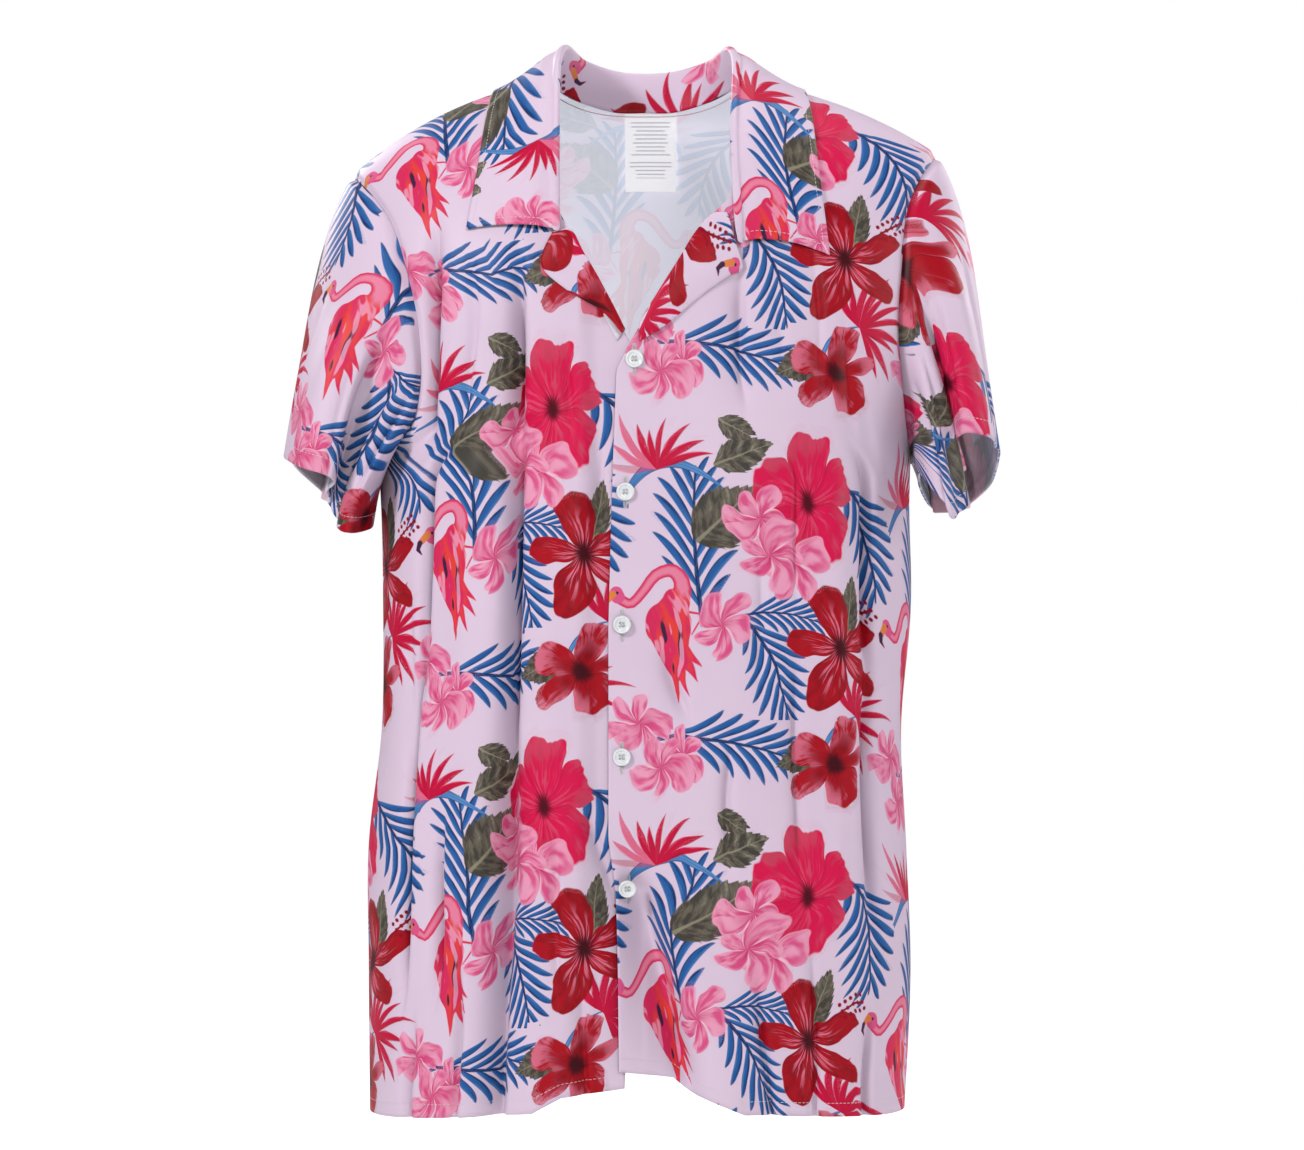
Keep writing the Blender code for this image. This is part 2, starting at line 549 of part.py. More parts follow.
def cloth_object(name, grid, material, wall=CLOTH, closed=False, facing=None):
    """Mesh of a grid of points, given its wall on the hidden side by Solidify."""
    quads, points = grid_faces(grid, closed), grid.reshape(-1, 3)
    across = np.cross(points[quads[:, 1]] - points[quads[:, 0]], points[quads[:, 3]] - points[quads[:, 0]])
    middle = points[quads].mean(axis=1)
    if np.sum(across * facing(middle)) < 0:
        quads = quads[:, ::-1]
    mesh = bpy.data.meshes.new(name)
    mesh.from_pydata(points.tolist(), [], quads.tolist())
    mesh.shade_smooth()
    mesh.materials.append(material)
    obj = bpy.data.objects.new(name, mesh)
    shirt.objects.link(obj)
    wall_maker = obj.modifiers.new("Wall", "SOLIDIFY")
    wall_maker.thickness = wall
    wall_maker.offset = -1
    return obj


def away_from_body(points):
    return points - np.array([0, 0, MIDDLE_Z])


def away_from_sleeve(side):
    return lambda points: points - SLEEVE_MIDDLE * [side, 1, 1]


def seen_from_front(tree, x, z):
    """Point and normal of the cloth straight behind this place."""
    return tree.ray_cast(Vector((x, -1, z)), Vector((0, 1, 0)))[:2]


def button_object(number, tree, material):
    """Disc with a rounded rim, flat on the top front a little inside its free edge."""
    z = FIRST_BUTTON_Z - number * BUTTON_PITCH
    x = np.interp(z, EDGE_LEFT["z"], EDGE_LEFT["x"]) + BUTTON_INSET
    spot, _ = seen_from_front(tree, x, z)
    round_it = np.radians(np.arange(0, 360, 30))
    rim = [
        seen_from_front(tree, x + BUTTON_RADIUS * np.cos(turn), z + BUTTON_RADIUS * np.sin(turn))
        for turn in round_it
    ]
    on_cloth = [(point, normal) for point, normal in rim if point]
    normal = sum((normal for _, normal in on_cloth), Vector()).normalized()
    normal *= -1 if normal.y > 0 else 1
    stand_off = max((point - spot).dot(normal) for point, _ in on_cloth)
    centre = spot + normal * (max(stand_off, 0) + SEAM_GAP + FACET_ROOM / 2 + BUTTON_THICKNESS / 2)
    bpy.ops.mesh.primitive_cylinder_add(vertices=16, radius=BUTTON_RADIUS, depth=BUTTON_THICKNESS)
    obj = bpy.context.object
    obj.name = f"button_{number + 1}"
    tilt = Vector((0, 0, 1)).rotation_difference(normal).to_matrix().to_4x4()
    obj.matrix_world = Matrix.Translation(centre) @ tilt
    rounding = obj.modifiers.new("Rim", "BEVEL")
    rounding.width = BUTTON_BEVEL
    rounding.segments = 1
    rounding.limit_method = "ANGLE"
    obj.data.materials.append(material)
    for collection in list(obj.users_collection):
        collection.objects.unlink(obj)
    shirt.objects.link(obj)


for leftover in list(bpy.data.objects):
    bpy.data.objects.remove(leftover, do_unlink=True)

shirt = bpy.data.collections.new("Hawaiian shirt")
bpy.context.scene.collection.children.link(shirt)

LILAC = (0.72, 0.56, 0.70)
BACK_CLOTH, LEFT_CLOTH, RIGHT_CLOTH = back_grid(), front_left_grid(), front_right_grid()
PIECES = {
    "back": (BACK_CLOTH, away_from_body),
    "front_left": (LEFT_CLOTH, away_from_body),
    "front_right": (RIGHT_CLOTH, away_from_body),
    "sleeve_left": (sleeve_grid(LEFT_CLOTH, BACK_CLOTH, 1, CUFF_LEFT), away_from_sleeve(1)),
    "sleeve_right": (sleeve_grid(RIGHT_CLOTH, BACK_CLOTH, -1, CUFF_RIGHT), away_from_sleeve(-1)),
    "collar": (collar_grid(), away_from_body),
    "lapel_left": (lapel_grid(LAPEL_LEFT), away_from_body),
    "lapel_right": (lapel_grid(LAPEL_RIGHT), away_from_body),
}
for piece, (grid, facing) in PIECES.items():
    cloth_object(
        piece, grid, fabric(f"{piece} cloth", LILAC, 0.55), closed=piece.startswith("sleeve"), facing=facing
    )
cloth_object(
    "label",
    label_grid(BACK_CLOTH),
    fabric("label satin", (0.86, 0.86, 0.88), 0.6),
    wall=LABEL_WALL,
    facing=lambda points: -away_from_body(points),
)
BUTTON_WHITE = fabric("button plastic", (0.88, 0.90, 0.92), 0.25)
for number in range(BUTTON_COUNT):
    button_object(number, tree_of(LEFT_CLOTH), BUTTON_WHITE)
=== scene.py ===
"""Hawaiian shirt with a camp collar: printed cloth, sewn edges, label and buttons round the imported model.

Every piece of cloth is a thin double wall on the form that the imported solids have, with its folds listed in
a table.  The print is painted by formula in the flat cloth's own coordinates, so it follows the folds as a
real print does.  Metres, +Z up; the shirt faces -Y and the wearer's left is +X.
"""

import bmesh
import bpy
import numpy as np
from bpy.props import FloatProperty, FloatVectorProperty, IntProperty, PointerProperty
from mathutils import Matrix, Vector


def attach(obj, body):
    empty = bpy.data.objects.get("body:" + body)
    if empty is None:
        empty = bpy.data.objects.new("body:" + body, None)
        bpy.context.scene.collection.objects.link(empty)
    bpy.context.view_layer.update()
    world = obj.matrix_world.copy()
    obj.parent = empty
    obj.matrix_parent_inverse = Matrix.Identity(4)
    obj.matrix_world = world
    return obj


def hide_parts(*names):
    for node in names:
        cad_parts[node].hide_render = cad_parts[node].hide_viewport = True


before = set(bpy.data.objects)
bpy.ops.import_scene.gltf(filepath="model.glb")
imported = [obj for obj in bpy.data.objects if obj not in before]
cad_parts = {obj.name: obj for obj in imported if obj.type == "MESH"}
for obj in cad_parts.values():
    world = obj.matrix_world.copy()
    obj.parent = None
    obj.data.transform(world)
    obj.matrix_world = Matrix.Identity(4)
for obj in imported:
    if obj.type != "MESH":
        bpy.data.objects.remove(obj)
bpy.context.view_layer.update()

bl_info = {
    "name": "Hawaiian Shirt",
    "version": (1, 0, 0),
    "blender": (4, 5, 0),
    "location": "View3D > Sidebar > Shirt",
    "description": "Builds a printed camp-collar shirt on its packed frame",
    "category": "Object",
}

FRONT, BACK = -1, 1


def display(red, green, blue):
    """A colour as a screen shows it, made linear for the shaders."""
    return tuple(c / 12.92 if c <= 0.04045 else ((c + 0.055) / 1.055) ** 2.4 for c in (red, green, blue))


def length(name, description, default):
    return FloatProperty(name=name, description=description, default=default, unit="LENGTH", precision=5)


def colour(name, description, *shown):
    return FloatVectorProperty(
        name=name, description=description, default=display(*shown), size=3, subtype="COLOR", min=0, max=1
    )


class ShirtSizes(bpy.types.PropertyGroup):
    """Sizes that a maker would change without cutting a new pattern."""

    wall: length("Cloth wall", "Thickness of the shirt cloth", 0.0009)
    back_step: length("Back mesh step", "Width of the faces on the back", 0.0022)
    front_step: length("Front mesh step", "Width of the faces on the two fronts", 0.0015)
    tall_step: length("Tall mesh step", "Height of the faces on the back and fronts", 0.0038)
    fine_step: length("Fine mesh step", "Size of the faces on the sleeves, collar and lapels", 0.0023)
    hem_depth: length("Hem depth", "From the folded edge up to the line of stitches", 0.0090)
    hem_wall: length("Hem wall", "What the turned-up hem adds inside", 0.0009)
    topstitch: length("Topstitch inset", "From the collar's edge to its stitches", 0.0040)
    stitch_pitch: length("Stitch pitch", "From one stitch to the next", 0.0031)
    stitch_length: length("Stitch length", "Thread that shows of each stitch", 0.0023)
    thread: length("Thread", "Thickness of the sewing thread", 0.00042)
    seam_dip: length("Seam dip", "How deep a seam pulls the cloth in", 0.0011)
    fold_depth: FloatProperty(
        name="Fold depth", description="Share of each fold's listed depth", default=1.0, subtype="FACTOR"
    )
    button_holes: IntProperty(name="Button holes", description="Thread holes in each button", default=4)


class ShirtColours(bpy.types.PropertyGroup):
    """Colours of the cloth, its print and its trimmings."""

    ground: colour("Ground", "Pale lilac cloth between the motifs", 0.905, 0.815, 0.900)
    reverse: colour("Reverse", "Wrong side of the cloth", 0.920, 0.940, 0.975)
    palm: colour("Palm", "Palm fronds", 0.150, 0.370, 0.640)
    palm_edge: colour("Palm edge", "Shaded edges of the fronds", 0.070, 0.165, 0.370)
    stem: colour("Stem", "Light blue stems", 0.360, 0.570, 0.800)
    leaf: colour("Leaf", "Olive grey leaves", 0.420, 0.390, 0.340)
    leaf_shade: colour("Leaf shade", "Shaded parts of the leaves", 0.270, 0.255, 0.230)
    spike: colour("Spike", "Crimson spikes", 0.800, 0.040, 0.240)
    spike_light: colour("Spike light", "Pink lights in the spikes", 0.950, 0.550, 0.690)
    bloom: colour("Bloom", "Hot pink hibiscus", 0.880, 0.065, 0.310)
    bloom_red: colour("Red bloom", "Dark red hibiscus", 0.690, 0.040, 0.110)
    bloom_light: colour("Bloom light", "Light streaks in the blooms", 0.950, 0.500, 0.610)
    bloom_heart: colour("Bloom heart", "Dark heart of the blooms", 0.190, 0.015, 0.060)
    blossom: colour("Blossom", "Small pink blossoms", 0.890, 0.340, 0.550)
    blossom_light: colour("Blossom light", "Edges of the small blossoms", 0.955, 0.640, 0.760)
    bird: colour("Bird", "Coral red of the wading birds", 0.930, 0.260, 0.230)
    bird_pink: colour("Bird pink", "Pink of their necks and wings", 0.870, 0.170, 0.370)
    bird_ink: colour("Bird ink", "Dark feathers and beak tips", 0.230, 0.130, 0.270)
    beak: colour("Beak", "Orange of the beaks", 0.900, 0.520, 0.280)
    thread: colour("Thread", "White sewing thread", 0.930, 0.910, 0.930)
    serging: colour("Serging", "Dark pink thread over the neck seam", 0.700, 0.260, 0.380)
    button: colour("Button", "White buttons", 0.940, 0.950, 0.960)
    label: colour("Label", "White satin label", 0.960, 0.960, 0.965)
    label_rule: colour("Label rule", "Grey rules on the label", 0.640, 0.640, 0.660)
    floor: colour("Floor", "Studio floor", 0.930, 0.930, 0.930)


def sizes():
    return bpy.context.scene.shirt_sizes


def colours():
    return bpy.context.scene.shirt_colours


# ---- Driving dimensions of the form, the same as the solids have ----
UNDERARM_Z = -0.256
NECK_HALF_WIDTH = 0.066  # from the middle to the neck end of the shoulder seam
TIP_X = 0.2015  # from the middle to the armhole end of the shoulder seam
SHOULDER_RISE = 0.012
SHOULDER_DROP, SHOULDER_CURVE, SHOULDER_TILT = 1.25, 8.0, 0.9
ARCH_HEIGHT = 0.18  # fall over which the cloth rounds from the shoulder line to the chest
SKIRT_RUN = 0.44  # cloth up a panel from the hem to the underarm
CHEST_RUN = 0.088  # on from there to the arch
ARCH_RUN = 0.236  # on from there to the shoulder
SQUARENESS = 2.4  # 2 would make each ring an ellipse
QUARTER_RING = 0.255  # length of cloth from the middle of a ring to the side seam
BACK_NECK_ANGLE = 27.0
NECK_SQUARENESS = 2.6
SETTLING_PASSES = 8
ROW_SAMPLES = 801
MIDDLE_Z = -0.30  # height of the point inside the shirt from which outward is judged
OVERLAP_DROP = 0.0038  # how far the under front sinks behind the top front
OVERLAP_START, OVERLAP_BLEND = -0.046, 0.016
OVERLAP_TOP_Z, OVERLAP_TOP_BLEND = -0.150, 0.020
TOP_FRONT_EXTRA = 0.02  # cloth that the top front has across, past a quarter of the ring
SLEEVE_ROUND, SLEEVE_LENGTH = 0.46, 0.235
SLEEVE_EASE_TOP, SLEEVE_EASE_CUFF = 0.28, 0.40
SLEEVE_FALL = (0.16, 0.0, -1.0)
SLEEVE_MIDDLE = np.array([0.205, 0.0, -0.200])  # point inside a sleeve from which outward is judged
COLLAR_ROUND, COLLAR_STAND, COLLAR_LEAF = 0.62, 0.028, 0.060
COLLAR_INSET = 0.0024  # from the neck seam in to the foot of the stand
COLLAR_LIE = 0.0026  # of the collar's leaf over the cloth under it
STAND_UNDERLAP = 0.09  # share of the stand that runs on down past the neck seam, inside the back
STAND_BOW = 0.0012
ROLL_RADIUS = 0.0028
ROLL_ROWS = 9
LEAF_SETTLE = 1.7
LAPEL_LENGTH, LAPEL_WIDTH = 0.105, 0.028
LAPEL_LIE = 0.0022
LAPEL_ROLL = 0.0017
LAPEL_ROLL_LIFT = 0.6  # of the turned edge over the form, in its own radii
LAPEL_CROWN, LAPEL_WAVE = 0.0012, 0.0009
LAPEL_BEHIND = 0.007  # how far the facing runs back behind the turned edge
COLLAR_WALL, LAPEL_WALL, LABEL_WALL = 0.0013, 0.0008, 0.00035
LABEL_WIDTH, LABEL_LENGTH = 0.036, 0.052
LABEL_X, LABEL_TOP_Z = 0.004, -0.0082
SEAM_REACH, ARMHOLE_REACH = 0.0034, 0.0042  # distance from a seam over which the cloth dips
DEEPEST_DIP = 1.2  # of a seam's dip where two seams meet, in seam dips
ARMHOLE_DIP = 1.5  # how much deeper than other seams the armhole seams lie, in their depths
SLEEVE_HEAD_DIP = 1.9 + ARMHOLE_DIP  # and the sleeve's own head, which tucks under the panels
HEM_EASE = 0.0012  # height over which a hem's extra thickness ends at its stitches
CREASE_REACH = 0.027  # height over which the crease of the rows at the underarm is eased out
BUTTON_RADIUS, BUTTON_THICK = 0.0060, 0.0022
SERGING_LIE = 0.0034  # of the thread's middle inside the back's outer face
FOLD_FADE = 0.070  # length over which a fold comes up and dies away
STEEP_WALL, EASY_WALL = 1.9, 0.8  # how fast a trough's two walls rise
TROUGH_POINT, TROUGH_POWER = 0.02, 0.68  # how blunt a trough's bottom is, and how it opens


def table(names, *rows):
    """Columns of a short table by name, with one row to each section, edge point, fold or motif."""
    return dict(zip(names.split(), np.array(rows, float).T))


RINGS = table(
    "z      right  left   front  back",
    (-0.720, 0.189, 0.178, 0.108, 0.098),
    (-0.600, 0.190, 0.183, 0.109, 0.097),
    (-0.520, 0.190, 0.180, 0.111, 0.097),
    (-0.440, 0.181, 0.1765, 0.114, 0.099),
    (-0.360, 0.180, 0.183, 0.118, 0.102),
    (-0.256, 0.1835, 0.1835, 0.120, 0.109),
    (-0.170, 0.195, 0.200, 0.119, 0.113),
    (-0.100, 0.216, 0.218, 0.117, 0.113),
    (-0.050, 0.232, 0.232, 0.115, 0.111),
    (0.030, 0.240, 0.240, 0.112, 0.108),
)

# Armhole seam from the underarm (0) to the shoulder tip (1): height, and distance from the middle.
ARMHOLES = table(
    "level z      front_right front_left back",
    (0.00, -0.2560, 0.1835, 0.1835, 0.1835),
    (0.05, -0.2520, 0.1770, 0.1822, 0.1812),
    (0.12, -0.2400, 0.1610, 0.1802, 0.1765),
    (0.22, -0.2120, 0.1520, 0.1770, 0.1690),
    (0.36, -0.1700, 0.1525, 0.1725, 0.1640),
    (0.52, -0.1260, 0.1620, 0.1750, 0.1660),
    (0.68, -0.0960, 0.1715, 0.1780, 0.1730),
    (0.84, -0.0740, 0.1850, 0.1870, 0.1860),
    (1.00, -0.0540, 0.2015, 0.2015, 0.2015),
)

# Free edge of each front: down the buttons, then up the V and round the neck to the shoulder seam.
EDGE_LEFT = table(
    "z      x",
    (-0.720, -0.0160), (-0.600, -0.0175), (-0.550, -0.0190), (-0.510, -0.0234), (-0.370, -0.0234),
    (-0.270, -0.0207), (-0.200, -0.0181), (-0.178, -0.0072), (-0.160, 0.0042), (-0.137, 0.0168),
    (-0.122, 0.0266), (-0.098, 0.0432), (-0.085, 0.0565), (-0.050, 0.0635), (0.020, 0.0660),
)
EDGE_RIGHT = table(
    "z      x",
    (-0.720, -0.0160), (-0.660, -0.0130), (-0.600, -0.0060), (-0.550, -0.0010), (-0.400, 0.0010),
    (-0.220, 0.0000), (-0.190, -0.0045), (-0.178, -0.0118), (-0.134, -0.0345), (-0.090, -0.0592),
    (-0.050, -0.0640), (0.020, -0.0660),
)

HEM_FRONT_RIGHT = table(
    "x z", (-0.190, -0.702), (-0.120, -0.696), (-0.075, -0.692), (-0.055, -0.681), (0.000, -0.674)
)
HEM_FRONT_LEFT = table(
    "x z", (-0.020, -0.664), (0.020, -0.668), (0.035, -0.680), (0.065, -0.692), (0.178, -0.700)
)
HEM_BACK = table("x z", (-0.190, -0.702), (-0.080, -0.690), (0.060, -0.688), (0.178, -0.700))

# Folds on the body: where each starts and ends, how wide it is, how far it stands out and how it strays.
FOLDS = table(
    "face  x_top   z_top   x_low   z_low   width   out     stray",
    # Soft ones, as on the solids.
    (-1, -0.080, -0.130, -0.091, -0.740, 0.0150, -0.0045, 0.000),
    (-1, -0.110, -0.200, -0.122, -0.740, 0.0180, 0.0040, 0.000),
    (-1, -0.056, -0.240, -0.062, -0.740, 0.0150, 0.0035, 0.000),
    (-1, -0.136, -0.080, -0.143, -0.260, 0.0090, -0.0040, 0.000),
    (-1, -0.158, -0.330, -0.160, -0.500, 0.0110, -0.0040, 0.000),
    (-1, 0.062, -0.110, 0.068, -0.250, 0.0110, -0.0045, 0.000),
    (-1, 0.100, -0.350, 0.106, -0.560, 0.0140, -0.0030, 0.000),
    (-1, 0.148, -0.210, 0.156, -0.620, 0.0120, -0.0040, 0.000),
    (-1, 0.128, -0.240, 0.130, -0.600, 0.0130, 0.0030, 0.000),
    (-1, -0.004, -0.500, 0.012, -0.760, 0.0200, -0.0060, 0.000),
    (-1, 0.050, -0.520, 0.066, -0.740, 0.0190, 0.0050, 0.000),
    (-1, 0.004, -0.340, 0.030, -0.460, 0.0120, -0.0030, 0.000),
    (1, -0.125, -0.120, -0.112, -0.740, 0.0150, -0.0060, 0.000),
    (1, -0.060, -0.200, -0.052, -0.740, 0.0170, 0.0050, 0.000),
    (1, 0.010, -0.260, 0.004, -0.740, 0.0160, -0.0050, 0.000),
    (1, 0.070, -0.180, 0.064, -0.740, 0.0180, 0.0050, 0.000),
    (1, 0.128, -0.140, 0.118, -0.740, 0.0140, -0.0060, 0.000),
    # Sharp creases on the fronts.
    (-1, -0.0822, -0.108, -0.0890, -0.490, 0.0044, -0.0155, 0.0004),
    (-1, -0.0880, -0.430, -0.1010, -0.745, 0.0078, -0.0175, 0.0008),
    (-1, -0.0970, -0.250, -0.1060, -0.730, 0.0110, 0.0030, 0.0015),
    (-1, -0.1390, -0.085, -0.1480, -0.430, 0.0048, -0.0130, 0.0006),
    (-1, -0.1120, -0.110, -0.1170, -0.250, 0.0038, -0.0038, 0.0015),
    (-1, -0.1500, -0.350, -0.1640, -0.640, 0.0046, -0.0110, 0.0008),
    (-1, -0.1330, -0.480, -0.1400, -0.640, 0.0042, -0.0085, 0.0012),
    (-1, -0.1220, -0.560, -0.1270, -0.745, 0.0046, -0.0072, 0.0012),
    (-1, -0.1560, -0.620, -0.1600, -0.745, 0.0049, -0.0064, 0.0012),
    (-1, -0.0520, -0.165, -0.0450, -0.280, 0.0036, -0.0038, 0.0008),
    (-1, -0.0310, -0.210, -0.0270, -0.330, 0.0028, -0.0043, 0.0006),
    (-1, -0.0600, -0.480, -0.0560, -0.640, 0.0041, -0.0049, 0.0010),
    (-1, -0.0420, -0.560, -0.0390, -0.745, 0.0038, -0.0052, 0.0010),
    (-1, -0.0410, -0.480, -0.0160, -0.560, 0.0036, -0.0052, 0.0006),
    (-1, 0.0630, -0.116, 0.0675, -0.235, 0.0033, -0.0049, 0.0008),
    (-1, 0.0880, -0.106, 0.0920, -0.220, 0.0044, -0.0026, 0.0012),
    (-1, 0.1120, -0.095, 0.1190, -0.230, 0.0044, -0.0028, 0.0010),
    (-1, 0.1015, -0.230, 0.1005, -0.375, 0.0018, -0.0030, 0.0003),
    (-1, 0.1010, -0.370, 0.1040, -0.560, 0.0040, -0.0042, 0.0008),
    (-1, 0.1340, -0.150, 0.1400, -0.290, 0.0044, -0.0028, 0.0008),
    (-1, 0.1505, -0.215, 0.1520, -0.420, 0.0042, -0.0090, 0.0006),
    (-1, 0.1500, -0.390, 0.1545, -0.580, 0.0044, -0.0092, 0.0008),
    (-1, 0.1390, -0.380, 0.1410, -0.640, 0.0080, 0.0026, 0.0015),
    (-1, 0.0760, -0.300, 0.0790, -0.440, 0.0038, -0.0035, 0.0012),
    (-1, 0.0570, -0.430, 0.0560, -0.540, 0.0038, -0.0058, 0.0010),
    (-1, 0.0100, -0.378, 0.0340, -0.440, 0.0036, -0.0052, 0.0000),
    (-1, -0.0150, -0.505, 0.0440, -0.715, 0.0088, -0.0200, 0.0008),
    (-1, 0.0200, -0.560, 0.0760, -0.745, 0.0090, 0.0036, 0.0010),
    (-1, 0.0740, -0.580, 0.0900, -0.745, 0.0044, -0.0075, 0.0012),
    (-1, 0.1120, -0.560, 0.1190, -0.745, 0.0044, -0.0061, 0.0012),
    (-1, 0.1500, -0.610, 0.1520, -0.745, 0.0044, -0.0070, 0.0012),
    # Sharp creases on the back.
    (1, -0.1210, -0.140, -0.1140, -0.520, 0.0049, -0.0088, 0.0010),
    (1, -0.1400, -0.250, -0.1360, -0.740, 0.0090, 0.0028, 0.0015),
    (1, -0.0920, -0.280, -0.0860, -0.745, 0.0053, -0.0065, 0.0012),
    (1, -0.0300, -0.440, -0.0260, -0.745, 0.0053, -0.0070, 0.0012),
    (1, 0.0080, -0.260, 0.0050, -0.690, 0.0049, -0.0083, 0.0010),
    (1, -0.0140, -0.320, -0.0180, -0.720, 0.0100, 0.0026, 0.0015),
    (1, 0.0400, -0.105, 0.0340, -0.400, 0.0053, -0.0047, 0.0012),
    (1, -0.0440, -0.095, -0.0600, -0.280, 0.0047, -0.0042, 0.0012),
    (1, 0.0940, -0.230, 0.0980, -0.660, 0.0049, -0.0060, 0.0012),
    (1, 0.1250, -0.150, 0.1190, -0.560, 0.0049, -0.0090, 0.0010),
    (1, 0.1430, -0.300, 0.1380, -0.740, 0.0090, 0.0026, 0.0015),
    (1, 0.1560, -0.380, 0.1540, -0.720, 0.0047, -0.0065, 0.0010),
    (1, -0.1580, -0.340, -0.1560, -0.720, 0.0047, -0.0065, 0.0010),
    (1, 0.0700, -0.500, 0.0560, -0.745, 0.0053, -0.0063, 0.0012),
)

# Direction in which the sleeve leaves its armhole, by how far round from the shoulder tip to the underarm.
SLEEVE_START = table(
    "turn outward across down", (0.0, 0.50, 0.00, 0.87), (0.5, 0.62, 0.22, 0.75), (1.0, 0.30, 0.00, 0.95)
)
# Cuff rings, by degrees from the outer side round by the front: distance from the middle, depth and height.
CUFF_RIGHT = table(
    "turn x     y      z",
    (0, 0.2475, 0.005, -0.2520), (40, 0.2430, -0.052, -0.2565), (62, 0.2290, -0.084, -0.2630),
    (80, 0.2085, -0.088, -0.2700), (90, 0.2050, -0.072, -0.2760), (99, 0.2120, -0.056, -0.2870),
    (110, 0.2080, -0.068, -0.3010), (128, 0.1970, -0.078, -0.3065), (148, 0.1860, -0.050, -0.3040),
    (180, 0.1880, 0.006, -0.2950), (210, 0.1920, 0.052, -0.2960), (240, 0.2040, 0.086, -0.2960),
    (262, 0.2150, 0.066, -0.2880), (285, 0.2280, 0.090, -0.2780), (320, 0.2440, 0.056, -0.2620),
    (360, 0.2475, 0.005, -0.2520),
)
CUFF_LEFT = table(
    "turn x     y      z",
    (0, 0.2440, 0.000, -0.2600), (30, 0.2410, -0.040, -0.2480), (54, 0.2290, -0.072, -0.2410),
    (70, 0.2120, -0.074, -0.2405), (79, 0.2075, -0.058, -0.2480), (88, 0.2140, -0.048, -0.2680),
    (97, 0.2190, -0.062, -0.2850), (108, 0.2090, -0.082, -0.2965), (126, 0.1990, -0.086, -0.2870),
    (150, 0.1840, -0.058, -0.2640), (180, 0.1885, 0.004, -0.2620), (210, 0.1930, 0.050, -0.2740),
    (240, 0.2050, 0.084, -0.2880), (265, 0.2180, 0.068, -0.2900), (290, 0.2320, 0.088, -0.2840),
    (325, 0.2430, 0.050, -0.2720), (360, 0.2440, 0.000, -0.2600),
)
# Folds down a sleeve: place round it (0 at the top line, -1 the front's underarm, 1 the back's), and run.
SLEEVE_FOLDS = table(
    "side round_top run_top round_low run_low width out",
    (-1, -0.50, 0.15, -0.52, 1.10, 0.022, -0.0070), (-1, -0.70, 0.03, -0.68, 0.80, 0.024, -0.0060),
    (-1, -0.34, 0.20, -0.32, 0.80, 0.050, 0.0020), (-1, 0.44, 0.20, 0.46, 1.10, 0.024, -0.0060),
    (-1, 0.70, 0.10, 0.72, 0.90, 0.024, -0.0050), (-1, 0.20, 0.10, 0.24, 0.60, 0.040, -0.0018),
    (-1, -0.61, 0.10, -0.60, 1.10, 0.016, -0.0050), (-1, -0.42, 0.40, -0.43, 1.10, 0.014, -0.0030),
    (-1, -0.20, 0.30, -0.17, 1.10, 0.018, -0.0024), (-1, 0.33, 0.15, 0.30, 0.90, 0.016, -0.0036),
    (-1, 0.56, 0.20, 0.60, 1.10, 0.016, -0.0046),
    (1, -0.47, 0.15, -0.48, 1.10, 0.022, -0.0070), (1, -0.70, 0.10, -0.70, 1.00, 0.024, -0.0052),
    (1, -0.28, 0.10, -0.26, 0.70, 0.050, 0.0020), (1, 0.46, 0.20, 0.47, 1.10, 0.024, -0.0060),
    (1, 0.72, 0.10, 0.70, 0.90, 0.024, -0.0050), (1, 0.18, 0.15, 0.22, 0.70, 0.040, -0.0018),
    (1, -0.58, 0.15, -0.57, 1.10, 0.016, -0.0046), (1, -0.37, 0.25, -0.39, 0.90, 0.014, -0.0034),
    (1, -0.15, 0.25, -0.18, 1.10, 0.018, -0.0024), (1, 0.32, 0.15, 0.30, 0.90, 0.016, -0.0036),
    (1, 0.58, 0.20, 0.62, 1.10, 0.016, -0.0046),
)

# The collar from its right front end (-1) round the back of the neck (0) to its left front end (1): the
# neck seam and the leaf's edge lie on the form by x and degrees round the arch, the roll line stands free.
COLLAR = table(
    "place neck_x  neck_turn roll_x  roll_y  roll_z  edge_x  edge_turn",
    (-1.00, -0.0620, -66.0, -0.0580, -0.1140, -0.1070, -0.1175, -62.5),
    (-0.75, -0.0640, -40.0, -0.0585, -0.0800, -0.0330, -0.1090, -41.0),
    (-0.60, -0.0655, -16.0, -0.0585, -0.0330, 0.0170, -0.1035, -14.0),
    (-0.50, -0.0660, 2.0, -0.0550, 0.0030, 0.0310, -0.1010, 2.0),
    (-0.32, -0.0500, 18.0, -0.0420, 0.0440, 0.0260, -0.0900, 30.0),
    (-0.15, -0.0240, 26.0, -0.0200, 0.0580, 0.0200, -0.0420, 40.0),
    (0.00, 0.0000, 27.0, 0.0000, 0.0600, 0.0185, 0.0000, 42.0),
    (0.15, 0.0240, 26.0, 0.0220, 0.0580, 0.0200, 0.0440, 40.0),
    (0.32, 0.0500, 18.0, 0.0450, 0.0440, 0.0255, 0.0920, 30.0),
    (0.50, 0.0660, 2.0, 0.0590, 0.0030, 0.0300, 0.1080, 2.0),
    (0.60, 0.0655, -16.0, 0.0620, -0.0330, 0.0160, 0.1100, -15.0),
    (0.75, 0.0640, -40.0, 0.0590, -0.0800, -0.0340, 0.1150, -44.0),
    (1.00, 0.0625, -66.0, 0.0640, -0.1140, -0.1150, 0.1220, -69.0),
)

